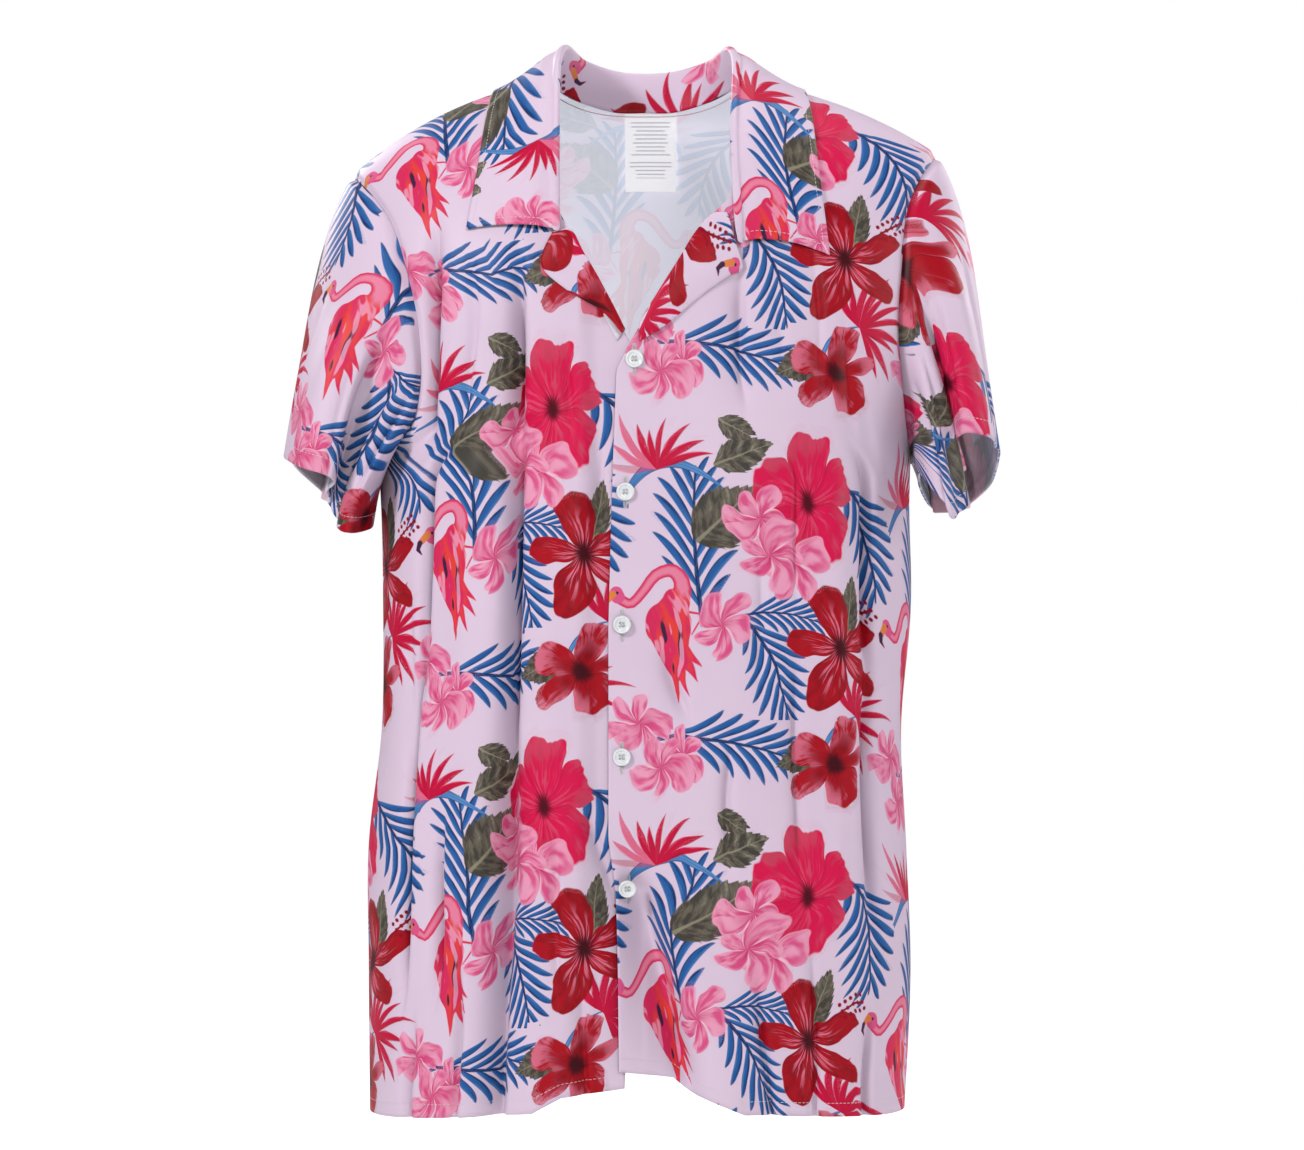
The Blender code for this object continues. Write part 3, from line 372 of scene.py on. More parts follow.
# The lapels: the turned edge down the V and the free edge on the shirt, from the notch to the top button.
LAPEL_RIGHT = table(
    "step fold_x   fold_z   edge_x   edge_z",
    (0.00, -0.0560, -0.1075, -0.0605, -0.1085), (0.12, -0.0490, -0.1060, -0.0660, -0.1200),
    (0.30, -0.0405, -0.1210, -0.0665, -0.1330), (0.48, -0.0320, -0.1355, -0.0510, -0.1470),
    (0.72, -0.0220, -0.1540, -0.0295, -0.1600), (1.00, -0.0125, -0.1730, -0.0150, -0.1760),
)
LAPEL_LEFT = table(
    "step fold_x   fold_z   edge_x   edge_z",
    (0.00, 0.0540, -0.0950, 0.0610, -0.1195), (0.12, 0.0450, -0.0960, 0.0660, -0.1310),
    (0.30, 0.0330, -0.1090, 0.0560, -0.1370), (0.48, 0.0240, -0.1240, 0.0395, -0.1490),
    (0.72, 0.0115, -0.1440, 0.0155, -0.1690), (1.00, -0.0040, -0.1690, -0.0025, -0.1810),
)

# ---- The print, in millimetres on the flat cloth: x to the right and y up from a tile's own corner ----
REPEAT_DOWN = (0.0, -262.0)
REPEAT_ACROSS = (208.0, -12.0)
# Each motif's base or heart, the direction of its long axis, its length and half width, and its kind.
MOTIFS = {
    "fronds_low": table(
        "x   y    turn  length width kind",
        (61, -153, 93, 104, 37, 0.08), (84, -144, -61, 80, 31, 0.25), (30, -228, -8, 94, 31, 0.15),
    ),
    "fronds_high": table(
        "x   y    turn  length width kind",
        (154, -55, -56, 88, 40, 0.36), (84, -146, -4, 62, 19, 0.25), (3, -84, 17, 75, 28, 9),
        (148, -252, 56, 50, 12, 9),
    ),
    "leaves": table(
        "x   y    turn length width kind",
        (68, -46, 21, 43, 14, 1), (71, -16, -27, 31, 10, 2), (56, -97, 42, 56, 23, 3),
        (98, -103, 60, 25, 7, 4), (162, -163, 82, 48, 12, 5), (151, -232, 200, 42, 14, 6),
    ),
    "spikes": table(
        "x   y    turn length width kind", (30, -50, 66, 46, 46, 1), (176, -212, 20, 50, 50, 2)
    ),
    "bird": table("x  y    turn length width kind", (38, -155, 0, 50, 50, 1)),
    "blooms": table(
        "x     y    turn length width kind",
        (133, -69, 98, 52, 41, 1), (159, -166, 112, 52, 43, 2), (157, -242, 12, 36, 35, 3),
    ),
    "blossoms_low": table(
        "x   y    turn length width kind",
        (99, -81, 10, 27, 27, 1), (124, -111, 50, 27, 27, 2), (74, -152, 80, 27, 27, 3),
        (19, -218, 30, 25, 25, 4), (48, -240, 60, 22, 22, 5),
    ),
    "blossoms_high": table(
        "x   y    turn length width kind", (107, -105, 30, 27, 27, 6), (33, -247, 5, 25, 25, 7)
    ),
}
# How far each kind of motif reaches from its base, in its own lengths: behind, ahead and to the sides.
REACHES = {
    "fronds_low": (-0.06, 1.18, 1.20),
    "fronds_high": (-0.06, 1.18, 1.35),
    "leaves": (-0.05, 1.05, 1.15),
    "spikes": (-1.05, 1.08, 1.08),
    "bird": (-1.00, 0.90, 1.30),
    "blooms": (-1.35, 1.35, 1.35),
    "blossoms_low": (-1.05, 1.05, 1.05),
    "blossoms_high": (-1.05, 1.05, 1.05),
}
FAR_AWAY = (9.0, 9.0, 0.0)

# Where a tile's corner falls on each piece, in metres of its flat cloth, and how the grain leans there:
# how far right it goes for each metre up.
TILES = {
    "back": (-0.034, 0.042, 0.0),
    "front_left": (-0.022, -0.2195, 0.0),
    "front_right": (-0.1945, -0.1587, 0.020),
    "sleeve_left": (-0.230, 0.370, 0.0),
    "sleeve_right": (0.054, 0.253, 0.0),
    "collar": (-0.018, -0.082, 0.0),
    "lapel_left": (0.045, 0.115, 0.0),
    "lapel_right": (-0.181, 0.178, 0.0),
}
# How the print lies along the collar, which is eased to shape round the neck: from the middle of its back.
COLLAR_EASE = table(
    "along print", (-0.45, -0.365), (-0.20, -0.115), (-0.06, -0.045), (0.20, 0.150), (0.45, 0.400)
)


def smooth(at, keys, values):
    """Cubic curve through a column of a table, with each slope read from the rows on either side."""
    slopes = np.gradient(values, keys)
    at = np.clip(at, keys[0], keys[-1])
    low = np.clip(np.searchsorted(keys, at, side="right") - 1, 0, len(keys) - 2)
    span = keys[low + 1] - keys[low]
    t = (at - keys[low]) / span
    start = (1 + 2 * t) * (1 - t) ** 2 * values[low] + t * (1 - t) ** 2 * span * slopes[low]
    end = t * t * (3 - 2 * t) * values[low + 1] + t * t * (t - 1) * span * slopes[low + 1]
    return start + end


def ease(t):
    """0 up to t = 0 and 1 past t = 1, with a soft change between."""
    t = np.clip(t, 0, 1)
    return t * t * (3 - 2 * t)


def unit(vectors):
    return vectors / np.maximum(np.linalg.norm(vectors, axis=-1, keepdims=True), 1e-12)


def rows_of(data):
    """The rows of a table, each as a dict."""
    count = len(next(iter(data.values())))
    return [{name: column[row] for name, column in data.items()} for row in range(count)]


# ---- The form that all the cloth is read from ----


def shoulder_z(x):
    """Height of the shoulder line, which curves down from the neck to the tip."""
    return SHOULDER_RISE - SHOULDER_DROP * x**2 - SHOULDER_CURVE * x**4 + SHOULDER_TILT * x**3


def half_width(z, side):
    """Distance from the middle to the side seam at height z, which differs from side to side."""
    right, left = (smooth(z, RINGS["z"], RINGS[name]) for name in ("right", "left"))
    return np.where(side < 0, right, left)


def depth(z, face):
    """Distance from the middle plane to the front's or the back's outermost line at height z."""
    return smooth(z, RINGS["z"], RINGS["front" if face == FRONT else "back"])


def ring_turn(x, z):
    """Signed angle of the place x on the ring at height z: 0 in the middle, a quarter turn at the side."""
    share = np.clip(np.abs(x) / half_width(z, x), 0, 1) ** (SQUARENESS / 2)
    return np.sign(x) * np.arcsin(share)


def folds_out(turn, z, face):
    """How far the folds of one face stand out about slanting lines that stray a little.

    A ridge is a bell curve; a trough is drawn together to a narrow bottom, as cloth does.
    """
    out = np.zeros(np.broadcast(turn, z).shape)
    for number, fold in enumerate(rows_of(FOLDS)):
        if fold["face"] != face:
            continue
        down = np.clip((fold["z_top"] - z) / (fold["z_top"] - fold["z_low"]), 0, 1)
        line = fold["x_top"] + (fold["x_low"] - fold["x_top"]) * down
        line = line + fold["stray"] * np.sin(9 * down + 2 * number)
        aside = (turn - ring_turn(line, z)) * QUARTER_RING / (np.pi / 2)
        fade_length = min(FOLD_FADE, 0.4 * (fold["z_top"] - fold["z_low"]))
        fade = ease((fold["z_top"] - z) / fade_length) * ease((z - fold["z_low"]) / fade_length)
        out += fold["out"] * fade * fold_profile(aside / fold["width"], fold["out"])
    return out * sizes().fold_depth


def fold_profile(aside, out):
    """Height of a fold at a distance aside in its own widths.

    A ridge is round.  A trough has a narrow bottom and its far wall is the steeper one.
    """
    if out > 0:
        return np.exp(-(aside**2))
    aside = aside * np.where(aside > 0, STEEP_WALL, EASY_WALL)
    return np.exp(-((aside**2 + TROUGH_POINT) ** TROUGH_POWER)) * 1.07


def form(turn, z, face, folded=True):
    """Points of the form: a squared ring at each height, arched over to nothing at the shoulder line."""
    side = np.sign(turn)
    reach = half_width(z, side)
    x = side * reach * np.abs(np.sin(turn)) ** (2 / SQUARENESS)
    fall = np.clip((shoulder_z(x) - z) / ARCH_HEIGHT, 0, 1)
    arch = np.sqrt(1 - (1 - fall) ** 2)
    y = face * depth(z, face) * np.abs(np.cos(turn)) ** (2 / SQUARENESS) * arch
    points = np.stack([x, y, z + 0 * x], -1)
    if folded:
        outward = unit(np.stack([x / reach**2, y / depth(z, face) ** 2, 0 * x], -1))
        points += outward * (folds_out(turn, z, face) * ease(2 * arch))[..., None]
    return points


def on_form(x, z, face):
    """Point of the form at x and z on one of its faces."""
    return form(ring_turn(x, z), z, face)


def over_shoulder(x, degrees):
    """Point of the form at x, so many degrees round the arch from the shoulder line: back is positive."""
    z = shoulder_z(x) - ARCH_HEIGHT * (1 - np.cos(np.radians(degrees)))
    front, back = (on_form(x, z, face) for face in (FRONT, BACK))
    return np.where((degrees < 0)[..., None], front, back)


def outward_at(place, a, b):
    """Unit normal of the form where place(a, b) is a point of it, turned to point away from the middle."""
    step_a, step_b = 0.0005, 0.09 if place is over_shoulder else 0.0005
    along_a = place(a + step_a, b) - place(a - step_a, b)
    along_b = place(a, b + step_b) - place(a, b - step_b)
    normal = unit(np.cross(along_a, along_b))
    return normal * np.sign(np.sum(normal * away_from_body(place(a, b)), -1, keepdims=True))


def away_from_body(points):
    return points - np.array([0, 0, MIDDLE_Z])


def front_place(x, z):
    """Point of the fronts at x and z."""
    return on_form(x, z, FRONT)


def back_place(x, z):
    """Point of the back at x and z."""
    return on_form(x, z, BACK)


# ---- Grids of points ----


def run_along(points, axis=0):
    """Length of cloth from the first row (or column) to each of the others."""
    steps = np.linalg.norm(np.diff(points, axis=axis), axis=-1)
    start = np.zeros_like(steps.take([0], axis=axis))
    return np.concatenate([start, np.cumsum(steps, axis=axis)], axis=axis)


def evenly(points, count):
    """The same line of points, spaced evenly along its length."""
    run = run_along(points)
    return along_line(np.linspace(0, run[-1], count), run, points)


def along_line(at, run, points):
    """Points of a line at these distances along it, or the values that it carries there."""
    return np.stack([np.interp(at, run, points[:, axis]) for axis in range(3)], -1)


def at_run(grid, run, distance):
    """The line across a grid where the run down its columns is this distance."""
    columns = range(grid.shape[1])
    return np.array([along_line(distance, run[:, column], grid[:, column]) for column in columns])


def normals_of(grid, closed=False):
    """Unit normals of a grid from the steps along its rows and columns."""
    if closed:
        wide = np.concatenate([grid[:, -2:-1], grid[:, :-1], grid[:, :2]], axis=1)
        along = np.gradient(wide, axis=1)[:, 1:-1]
        along = np.concatenate([along[:, :-1], along[:, :1]], axis=1)
    else:
        along = np.gradient(grid, axis=1)
    return unit(np.cross(along, np.gradient(grid, axis=0)))


def body_levels(step):
    """Levels from the hem (-1) by the underarm (0) to the shoulder (1), about one step apart."""
    arch_share = ARCH_HEIGHT / (SHOULDER_RISE - UNDERARM_Z)
    below = np.linspace(-1, 0, round(SKIRT_RUN / step))
    chest = np.linspace(0, 1 - arch_share, round(CHEST_RUN / step))[1:-1]
    turn = np.radians(np.linspace(90, 0, round(ARCH_RUN / step)))
    return np.concatenate([below, chest, 1 - arch_share * (1 - np.cos(turn))])


def side_edge(level, name, side):
    """x and z of an armhole seam, brought to its own shoulder's height, and of the side seam below it."""
    z = smooth(level, ARMHOLES["level"], ARMHOLES["z"])
    z = z + (shoulder_z(side * TIP_X) - ARMHOLES["z"][-1]) * level**2
    x = smooth(level, ARMHOLES["level"], ARMHOLES[name])
    return np.where(level > 0, side * x, side * half_width(z, side)), z


class Edge:
    """One side of a body panel: its x and z by level over the underarm, and its x by height below."""

    def __init__(self, above, low_x, side=0):
        self.above, self.low_x, self.side = above, low_x, side


def seam_edge(name, side):
    """The sewn side of a panel: the armhole, and the side seam below it."""
    return Edge(lambda level: side_edge(level, name, side), lambda z: side * half_width(z, side), side)


def free_edge(edge):
    """The open side of a front, from its hem up the V and round the neck."""
    neck_z = shoulder_z(edge["x"][-1])

    def above(level):
        z = UNDERARM_Z + (neck_z - UNDERARM_Z) * level
        return np.interp(z, edge["z"], edge["x"]), z

    return Edge(above, lambda z: np.interp(z, edge["z"], edge["x"]))


def eased_over(grid, row, reach, passes=20):
    """The grid with its rows near this one drawn towards their neighbours, which takes out a crease."""
    share = np.exp(-(((np.arange(len(grid)) - row) / reach) ** 2))[1:-1, None, None]
    for _ in range(passes):
        grid[1:-1] += share * 0.5 * ((grid[:-2] + grid[2:]) / 2 - grid[1:-1])
    return grid


def underarm_row(grid):
    """Number of the row that ends at the underarm."""
    return int(np.argmin(np.abs(grid[:, -1, 2] - UNDERARM_Z)))


def panel(first, last, top_z, hem, face, width, step):
    """Grid of points between two edges, its rows stretches of rings and its columns evenly spaced."""
    tall_step = sizes().tall_step
    level = body_levels(tall_step)[:, None]
    across = np.linspace(0, 1, ROW_SAMPLES)
    ends = []
    for edge in (first, last):
        x, z = edge.above(np.maximum(level, 0))
        hem_z = np.interp(edge.above(np.array(0.0))[0], hem["x"], hem["z"])
        z = np.where(level < 0, UNDERARM_Z + (UNDERARM_Z - hem_z) * level, z)
        x = np.where(level < 0, edge.low_x(z), x)
        at_seam = (edge.side != 0) & (level <= 0)
        ends.append((np.where(at_seam, edge.side * np.pi / 2, ring_turn(x, z)), z))
    (turn_a, z_a), (turn_b, z_b) = ends
    turn = turn_a + (turn_b - turn_a) * across
    z = z_a + (z_b - z_a) * across
    top, low = z[-1], z[0]
    for _ in range(SETTLING_PASSES):
        top = top_z(form(turn[-1], top, face, False)[:, 0])
        low = np.interp(form(turn[0], low, face, False)[:, 0], hem["x"], hem["z"])
    z = z + np.maximum(level, 0) ** 2 * (top - z[-1]) + np.maximum(-level, 0) * (low - z[0])
    points = form(turn, z, face)
    columns = round(width / step) + 1
    grid = np.array([evenly(row, columns) for row in points])
    return eased_over(grid, underarm_row(grid), CREASE_REACH / tall_step)


def back_top_z(x):
    """The shoulder line, dipping between the shoulder seams to the back neck seam."""
    share = np.clip(np.abs(x) / NECK_HALF_WIDTH, 0, 1)
    turn = np.radians(BACK_NECK_ANGLE) * np.sqrt(1 - share**NECK_SQUARENESS)
    return shoulder_z(x) - ARCH_HEIGHT * (1 - np.cos(turn))


def back_grid():
    """The whole back, from side seam to side seam."""
    edges = seam_edge("back", -1), seam_edge("back", 1)
    return panel(*edges, back_top_z, HEM_BACK, BACK, 2 * QUARTER_RING, sizes().back_step)


def front_left_grid():
    """The top front, whose free edge carries the buttonholes."""
    free, seam = free_edge(EDGE_LEFT), seam_edge("front_left", 1)
    width = QUARTER_RING + TOP_FRONT_EXTRA
    return panel(free, seam, shoulder_z, HEM_FRONT_LEFT, FRONT, width, sizes().front_step)


def front_right_grid():
    """The under front, sunk behind the top front where the two overlap below the V."""
    free, seam = free_edge(EDGE_RIGHT), seam_edge("front_right", -1)
    grid = panel(free, seam, shoulder_z, HEM_FRONT_RIGHT, FRONT, QUARTER_RING, sizes().front_step)
    x, z = grid[..., 0], grid[..., 2]
    below_v = ease((OVERLAP_TOP_Z - z) / OVERLAP_TOP_BLEND)
    grid[..., 1] += OVERLAP_DROP * ease((x - OVERLAP_START) / OVERLAP_BLEND) * below_v
    return grid


def body_run(grid, across):
    """Flat coordinates of a body panel: across it from its grain line, and up from the underarm's level.

    A step along a row counts without what the arch of the shoulder adds to it, and a step up a column
    counts what is left of its length when its sideways part is taken off.
    """
    fall = np.clip((shoulder_z(grid[..., 0]) - grid[..., 2]) / ARCH_HEIGHT, 0, 1)
    arch = np.maximum(np.sqrt(1 - (1 - fall) ** 2), 0.05)
    ring_y = grid[..., 1] / arch
    arch_between = (arch[:, 1:] + arch[:, :-1]) / 2
    steps = np.hypot(np.diff(grid[..., 0], axis=1), arch_between * np.diff(ring_y, axis=1))
    u = np.concatenate([np.zeros((len(grid), 1)), np.cumsum(steps, axis=1)], axis=1)
    start = u.shape[1] // 2 if across == "middle" else 0
    u = u - u[:, start, None]
    side = np.sign(grid[0, -1, 0] - grid[0, start, 0])
    u = u * side + grid[:, start, 0, None]
    rise = np.linalg.norm(np.diff(grid, axis=0), axis=-1) ** 2 - np.diff(u, axis=0) ** 2
    v = np.concatenate([np.zeros((1, grid.shape[1])), np.cumsum(np.sqrt(np.maximum(rise, 0)), axis=0)])
    v = v - v[underarm_row(grid)] + UNDERARM_Z
    return np.stack([u, v], -1)


def pulled_in_at_seams(grid, normals, edges):
    """The cloth dips where it is sewn, steepest in the last couple of millimetres beside each seam."""
    across, down = run_along(grid, 1), run_along(grid, 0)
    to_edge = {"first": across, "last": across[:, -1:] - across, "top": down[-1:] - down}
    at_armhole = 1 + ARMHOLE_DIP * ease((grid[..., 2] - UNDERARM_Z) / 0.03)
    deeper = {"first": at_armhole, "last": at_armhole, "top": 1}
    dip = sum(deeper[edge] * np.exp(-((to_edge[edge] / SEAM_REACH) ** 2)) for edge in edges)
    return grid - normals * (sizes().seam_dip * np.minimum(dip, DEEPEST_DIP + ARMHOLE_DIP))[..., None]


# ---- Sleeves ----


def round_armhole(side, around, front, back):
    """The panels' values round the armhole, from the underarm up the front and down the back, by run.

    front and back are each a panel's grid and the values on it that are wanted.
    """
    half = around // 2
    back_column = -1 if side > 0 else 0
    parts = []
    for (grid, values), column, count in ((front, -1, half + 1), (back, back_column, around - half + 1)):
        armhole = slice(underarm_row(grid), None), column
        run = run_along(grid[armhole])
        parts.append(along_line(np.linspace(0, run[-1], count), run, values[armhole]))
    return np.concatenate([parts[0], parts[1][::-1][1:]])


def sleeve_grid(front, back, side, cuff):
    """Tube from the armhole seam to the cuff, each line of it a cubic that starts outward and ends down.

    Columns run from the underarm round by the front, the top line and the back to the underarm again.
    """
    step = sizes().fine_step
    around, rows = round(SLEEVE_ROUND / step), round(SLEEVE_LENGTH / step)
    half = around // 2
    start = round_armhole(side, around, (front, front), (back, back))
    place = np.concatenate([np.linspace(-1, 0, half + 1), np.linspace(0, 1, around - half + 1)[1:]])
    under = np.abs(place)
    start_names = ("outward", "across", "down")
    towards = [np.interp(under, SLEEVE_START["turn"], SLEEVE_START[name]) for name in start_names]
    towards = np.stack([side * towards[0], np.sign(place) * towards[1], -towards[2]], -1)
    turn = np.where(place <= 0, -place * 180, 360 - place * 180)
    end = np.stack([smooth(turn, cuff["turn"], cuff[axis]) for axis in "xyz"], -1)
    end[:, 0] *= side
    run = np.linalg.norm(end - start, axis=1, keepdims=True)
    fall = unit(np.array(SLEEVE_FALL) * [side, 1, 1])
    handle_a = start + unit(towards) * run * SLEEVE_EASE_TOP
    handle_b = end - fall * run * SLEEVE_EASE_CUFF
    t = np.linspace(0, 1, rows)[:, None, None]
    near = (1 - t) ** 3 * start + 3 * t * (1 - t) ** 2 * handle_a
    grid = near + 3 * t * t * (1 - t) * handle_b + t**3 * end
    out = np.zeros(grid.shape[:2])
    for fold in rows_of(SLEEVE_FOLDS):
        if fold["side"] != side:
            continue
        down = np.clip((t[..., 0] - fold["run_top"]) / (fold["run_low"] - fold["run_top"]), 0, 1)
        line = fold["round_top"] + (fold["round_low"] - fold["round_top"]) * down
        fade = ease((t[..., 0] - fold["run_top"]) / 0.3) * ease((1.15 * fold["run_low"] - t[..., 0]) / 0.3)
        out += fold["out"] * fade * fold_profile(side * (place - line) / fold["width"], fold["out"])
    return grid + sleeve_normals(grid, side) * (out * sizes().fold_depth)[..., None]


def sleeve_normals(grid, side):
    return outward_normals(grid, True, lambda points: points - SLEEVE_MIDDLE * [side, 1, 1])


def sleeve_run(grid, side):
    """Flat coordinates of a sleeve: round it from the top line, and up from the cuff."""
    down = run_along(grid, 0)
    v = down[-1:] - down
    step = np.linalg.norm(np.diff(grid, axis=1), axis=-1)
    sideways = np.sqrt(np.maximum(step**2 - np.diff(v, axis=1) ** 2, (0.3 * step) ** 2))
    u = np.concatenate([np.zeros((len(grid), 1)), np.cumsum(sideways, axis=1)], axis=1)
    u = (u - u[:, grid.shape[1] // 2, None]) * side
    return np.stack([u, v], -1)


# ---- Collar, lapels and label ----


def collar_grid():
    """Sections round the neck: up the stand, over the roll and down the leaf on to the shirt."""
    step = sizes().fine_step
    place = np.linspace(-1, 1, round(COLLAR_ROUND / step))
    row = {name: smooth(place, COLLAR["place"], column) for name, column in COLLAR.items()}
    seam = over_shoulder(row["neck_x"], row["neck_turn"])
    to_neck = unit(np.stack([-seam[:, 0], -np.maximum(seam[:, 1], 0), 0 * place], -1))
    seam = seam + to_neck * COLLAR_INSET
    roll = np.stack([row["roll_x"], row["roll_y"], row["roll_z"]], -1)
    edge = over_shoulder(row["edge_x"], row["edge_turn"])
    outward = unit(np.cross(np.gradient(roll, axis=0), roll - seam))
    outward *= np.sign(np.sum(outward * (edge - roll), -1, keepdims=True))
    up = unit(roll - seam)
    foot = roll - (up + outward) * ROLL_RADIUS
    stand = np.linspace(-STAND_UNDERLAP, 1, round(COLLAR_STAND / step))[:-1, None, None]
    bow = -outward * STAND_BOW * np.sin(np.pi * np.maximum(stand, 0))
    sections = [seam + (foot - seam) * stand + bow]
    angle = np.radians(np.linspace(180, 0, ROLL_ROWS))[:, None, None]
    sections.append(roll + ROLL_RADIUS * (outward * np.cos(angle) + up * (np.sin(angle) - 1)))
    rise = roll + ROLL_RADIUS * (outward - up) - over_shoulder(row["neck_x"], row["neck_turn"])
    share = np.linspace(0, 1, round(COLLAR_LEAF / step))[1:, None]
    x = row["neck_x"] + (row["edge_x"] - row["neck_x"]) * share
    turn = row["neck_turn"] + (row["edge_turn"] - row["neck_turn"]) * share
    normal = outward_at(over_shoulder, x, turn)
    lie = COLLAR_LIE * ease(share / 0.2)
    settled = over_shoulder(x, turn) + normal * lie[..., None]
    sections.append(settled + rise * ((1 - share) ** LEAF_SETTLE)[..., None])
    return np.concatenate(sections)


def collar_run(grid):
    """Flat coordinates of the collar, whose print lies on its side: across the collar, and along it."""
    across, along = run_along(grid, 0), run_along(grid, 1)
    middle = grid.shape[1] // 2
    roll = round(COLLAR_STAND / sizes().fine_step) + ROLL_ROWS // 2
    along = (along - along[:, middle, None])[roll]
    eased = np.interp(along, COLLAR_EASE["along"], COLLAR_EASE["print"])
    return np.stack([across - across[roll], 0 * across - eased], -1)


def lapel_grid(lapel):
    """The facing from behind the V's edge, round a small roll, and out over the front to its free edge."""
    step = sizes().fine_step
    along = np.linspace(0, 1, round(LAPEL_LENGTH / step))
    row = {name: smooth(along, lapel["step"], column) for name, column in lapel.items()}
    fold = front_place(row["fold_x"], row["fold_z"])
    normal = outward_at(front_place, row["fold_x"], row["fold_z"])
    edge = front_place(row["edge_x"], row["edge_z"])
    across = unit(edge - fold)
    behind = np.linspace(1, 0, round(LAPEL_BEHIND / step) + 1)[:-1, None, None]
    lines = [fold + across * (LAPEL_ROLL + LAPEL_BEHIND * behind) - normal * 2 * LAPEL_ROLL]
    angle = np.radians(np.linspace(-90, 90, ROLL_ROWS))[:, None, None]
    turned = across * (1 - np.cos(angle)) + normal * (np.sin(angle) + LAPEL_ROLL_LIFT)
    lines.append(fold + turned * LAPEL_ROLL)
    share = np.linspace(0, 1, round(LAPEL_WIDTH / step))[1:, None]
    x = row["fold_x"] + (row["edge_x"] - row["fold_x"]) * share
    z = row["fold_z"] + (row["edge_z"] - row["fold_z"]) * share
    lift = LAPEL_LIE + LAPEL_ROLL_LIFT * LAPEL_ROLL * (1 - share) + LAPEL_CROWN * np.sin(np.pi * share)
    wave = LAPEL_WAVE * np.sin(9 * along) * share
    leaf = front_place(x, z) + outward_at(front_place, x, z) * (lift + wave)[..., None]
    lines.append(leaf + (across * LAPEL_ROLL) * (1 - share[..., None]))
    return np.concatenate(lines)


def lapel_run(grid, side):
    """Flat coordinates of a lapel: out from behind its roll, and down it from the notch."""
    return np.stack([side * run_along(grid, 0), -run_along(grid, 1)], -1)


# ---- Meshes ----


def outward_normals(grid, closed, away):
    """Unit normals of a grid, turned so that most of them point away from the middle."""
    normals = normals_of(grid, closed)
    return normals * np.sign(np.sum(normals * away(grid)))


def grid_faces(index):
    """Quads of a grid of vertex numbers."""
    return np.stack([index[:-1, :-1], index[:-1, 1:], index[1:, 1:], index[1:, :-1]], -1).reshape(-1, 4)


def ringed(grid, half_wall, closed):
    """The grid with one more row at each end, and one more column unless it is closed, half a wall out."""
    first = grid[:1] + unit(grid[:1] - grid[1:2]) * half_wall
    last = grid[-1:] + unit(grid[-1:] - grid[-2:-1]) * half_wall
    grid = np.concatenate([first, grid, last])
    if closed:
        return grid
    first = grid[:, :1] + unit(grid[:, :1] - grid[:, 1:2]) * half_wall
    last = grid[:, -1:] + unit(grid[:, -1:] - grid[:, -2:-1]) * half_wall
    return np.concatenate([first, grid, last], axis=1)


def new_object(name, points, faces, material):
    """Smooth-shaded mesh object at the origin, riding on the shirt's one body."""
    mesh = bpy.data.meshes.new(name)
    mesh.from_pydata(points.tolist(), [], faces.tolist())
    mesh.shade_smooth()
    mesh.materials.append(material)
    obj = bpy.data.objects.new(name, mesh)
    bpy.context.scene.collection.objects.link(obj)
    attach(obj, "root")
    return obj


def double_wall(name, grid, normals, wall, material, closed=False):
    """Both sides of a sheet, joined by one shared row of points round its edge, which rounds it off.

    Returns the object, the grid cell corners of each of its quads, and 0 or 1 for the side each is on.
    """
    inner = grid - normals * wall[..., None]
    middle = ringed((grid + inner) / 2, float(wall.mean()) / 2, closed)
    core = (slice(1, -1), slice(None) if closed else slice(1, -1))
    outer_points, inner_points = middle.copy(), middle.copy()
    outer_points[core], inner_points[core] = grid, inner
    points = np.concatenate([outer_points.reshape(-1, 3), inner_points.reshape(-1, 3)])
    flat = np.arange(middle[..., 0].size).reshape(middle.shape[:2])
    outer = flat.copy()
    if closed:
        outer[:, -1] = outer[:, 0]
    inside = outer.copy()
    inside[core] += flat.size
    cells = grid_faces(flat)
    first = points[cells]
    facing = np.cross(first[:, 1] - first[:, 0], first[:, 3] - first[:, 0])
    if np.sum(facing * widened(normals, closed)[cells[:, 0]]) < 0:
        cells = cells[:, ::-1]
    faces = np.concatenate([outer.ravel()[cells], inside.ravel()[cells[:, ::-1]]])
    numbers, kept = np.unique(faces, return_inverse=True)
    obj = new_object(name, points[numbers], kept.reshape(-1, 4), material)
    return obj, np.concatenate([cells, cells[:, ::-1]]), np.repeat([0.0, 1.0], len(cells))


def widened(values, closed):
    """A grid's values as a list, with its edges repeated for the rows and columns that ringed adds."""
    columns = (0, 0) if closed else (1, 1)
    return np.pad(values, [(1, 1), columns, (0, 0)], mode="edge").reshape(-1, values.shape[-1])


def cloth_object(piece, grid, normals, run, wall, material, closed=False):
    """Double wall of printed cloth, carrying its flat coordinates, its print and its bake map."""
    obj, cells, inside = double_wall(piece + "_cloth", grid, normals, wall, material, closed)
    rows, columns = grid.shape[0] + 2, grid.shape[1] + (0 if closed else 2)
    place = np.stack(np.meshgrid(np.linspace(0, 1, columns), np.linspace(0, 1, rows)), -1).reshape(-1, 2)
    add_cloth_layers(obj.data, piece, widened(run, closed)[cells], inside, place[cells])
    return obj


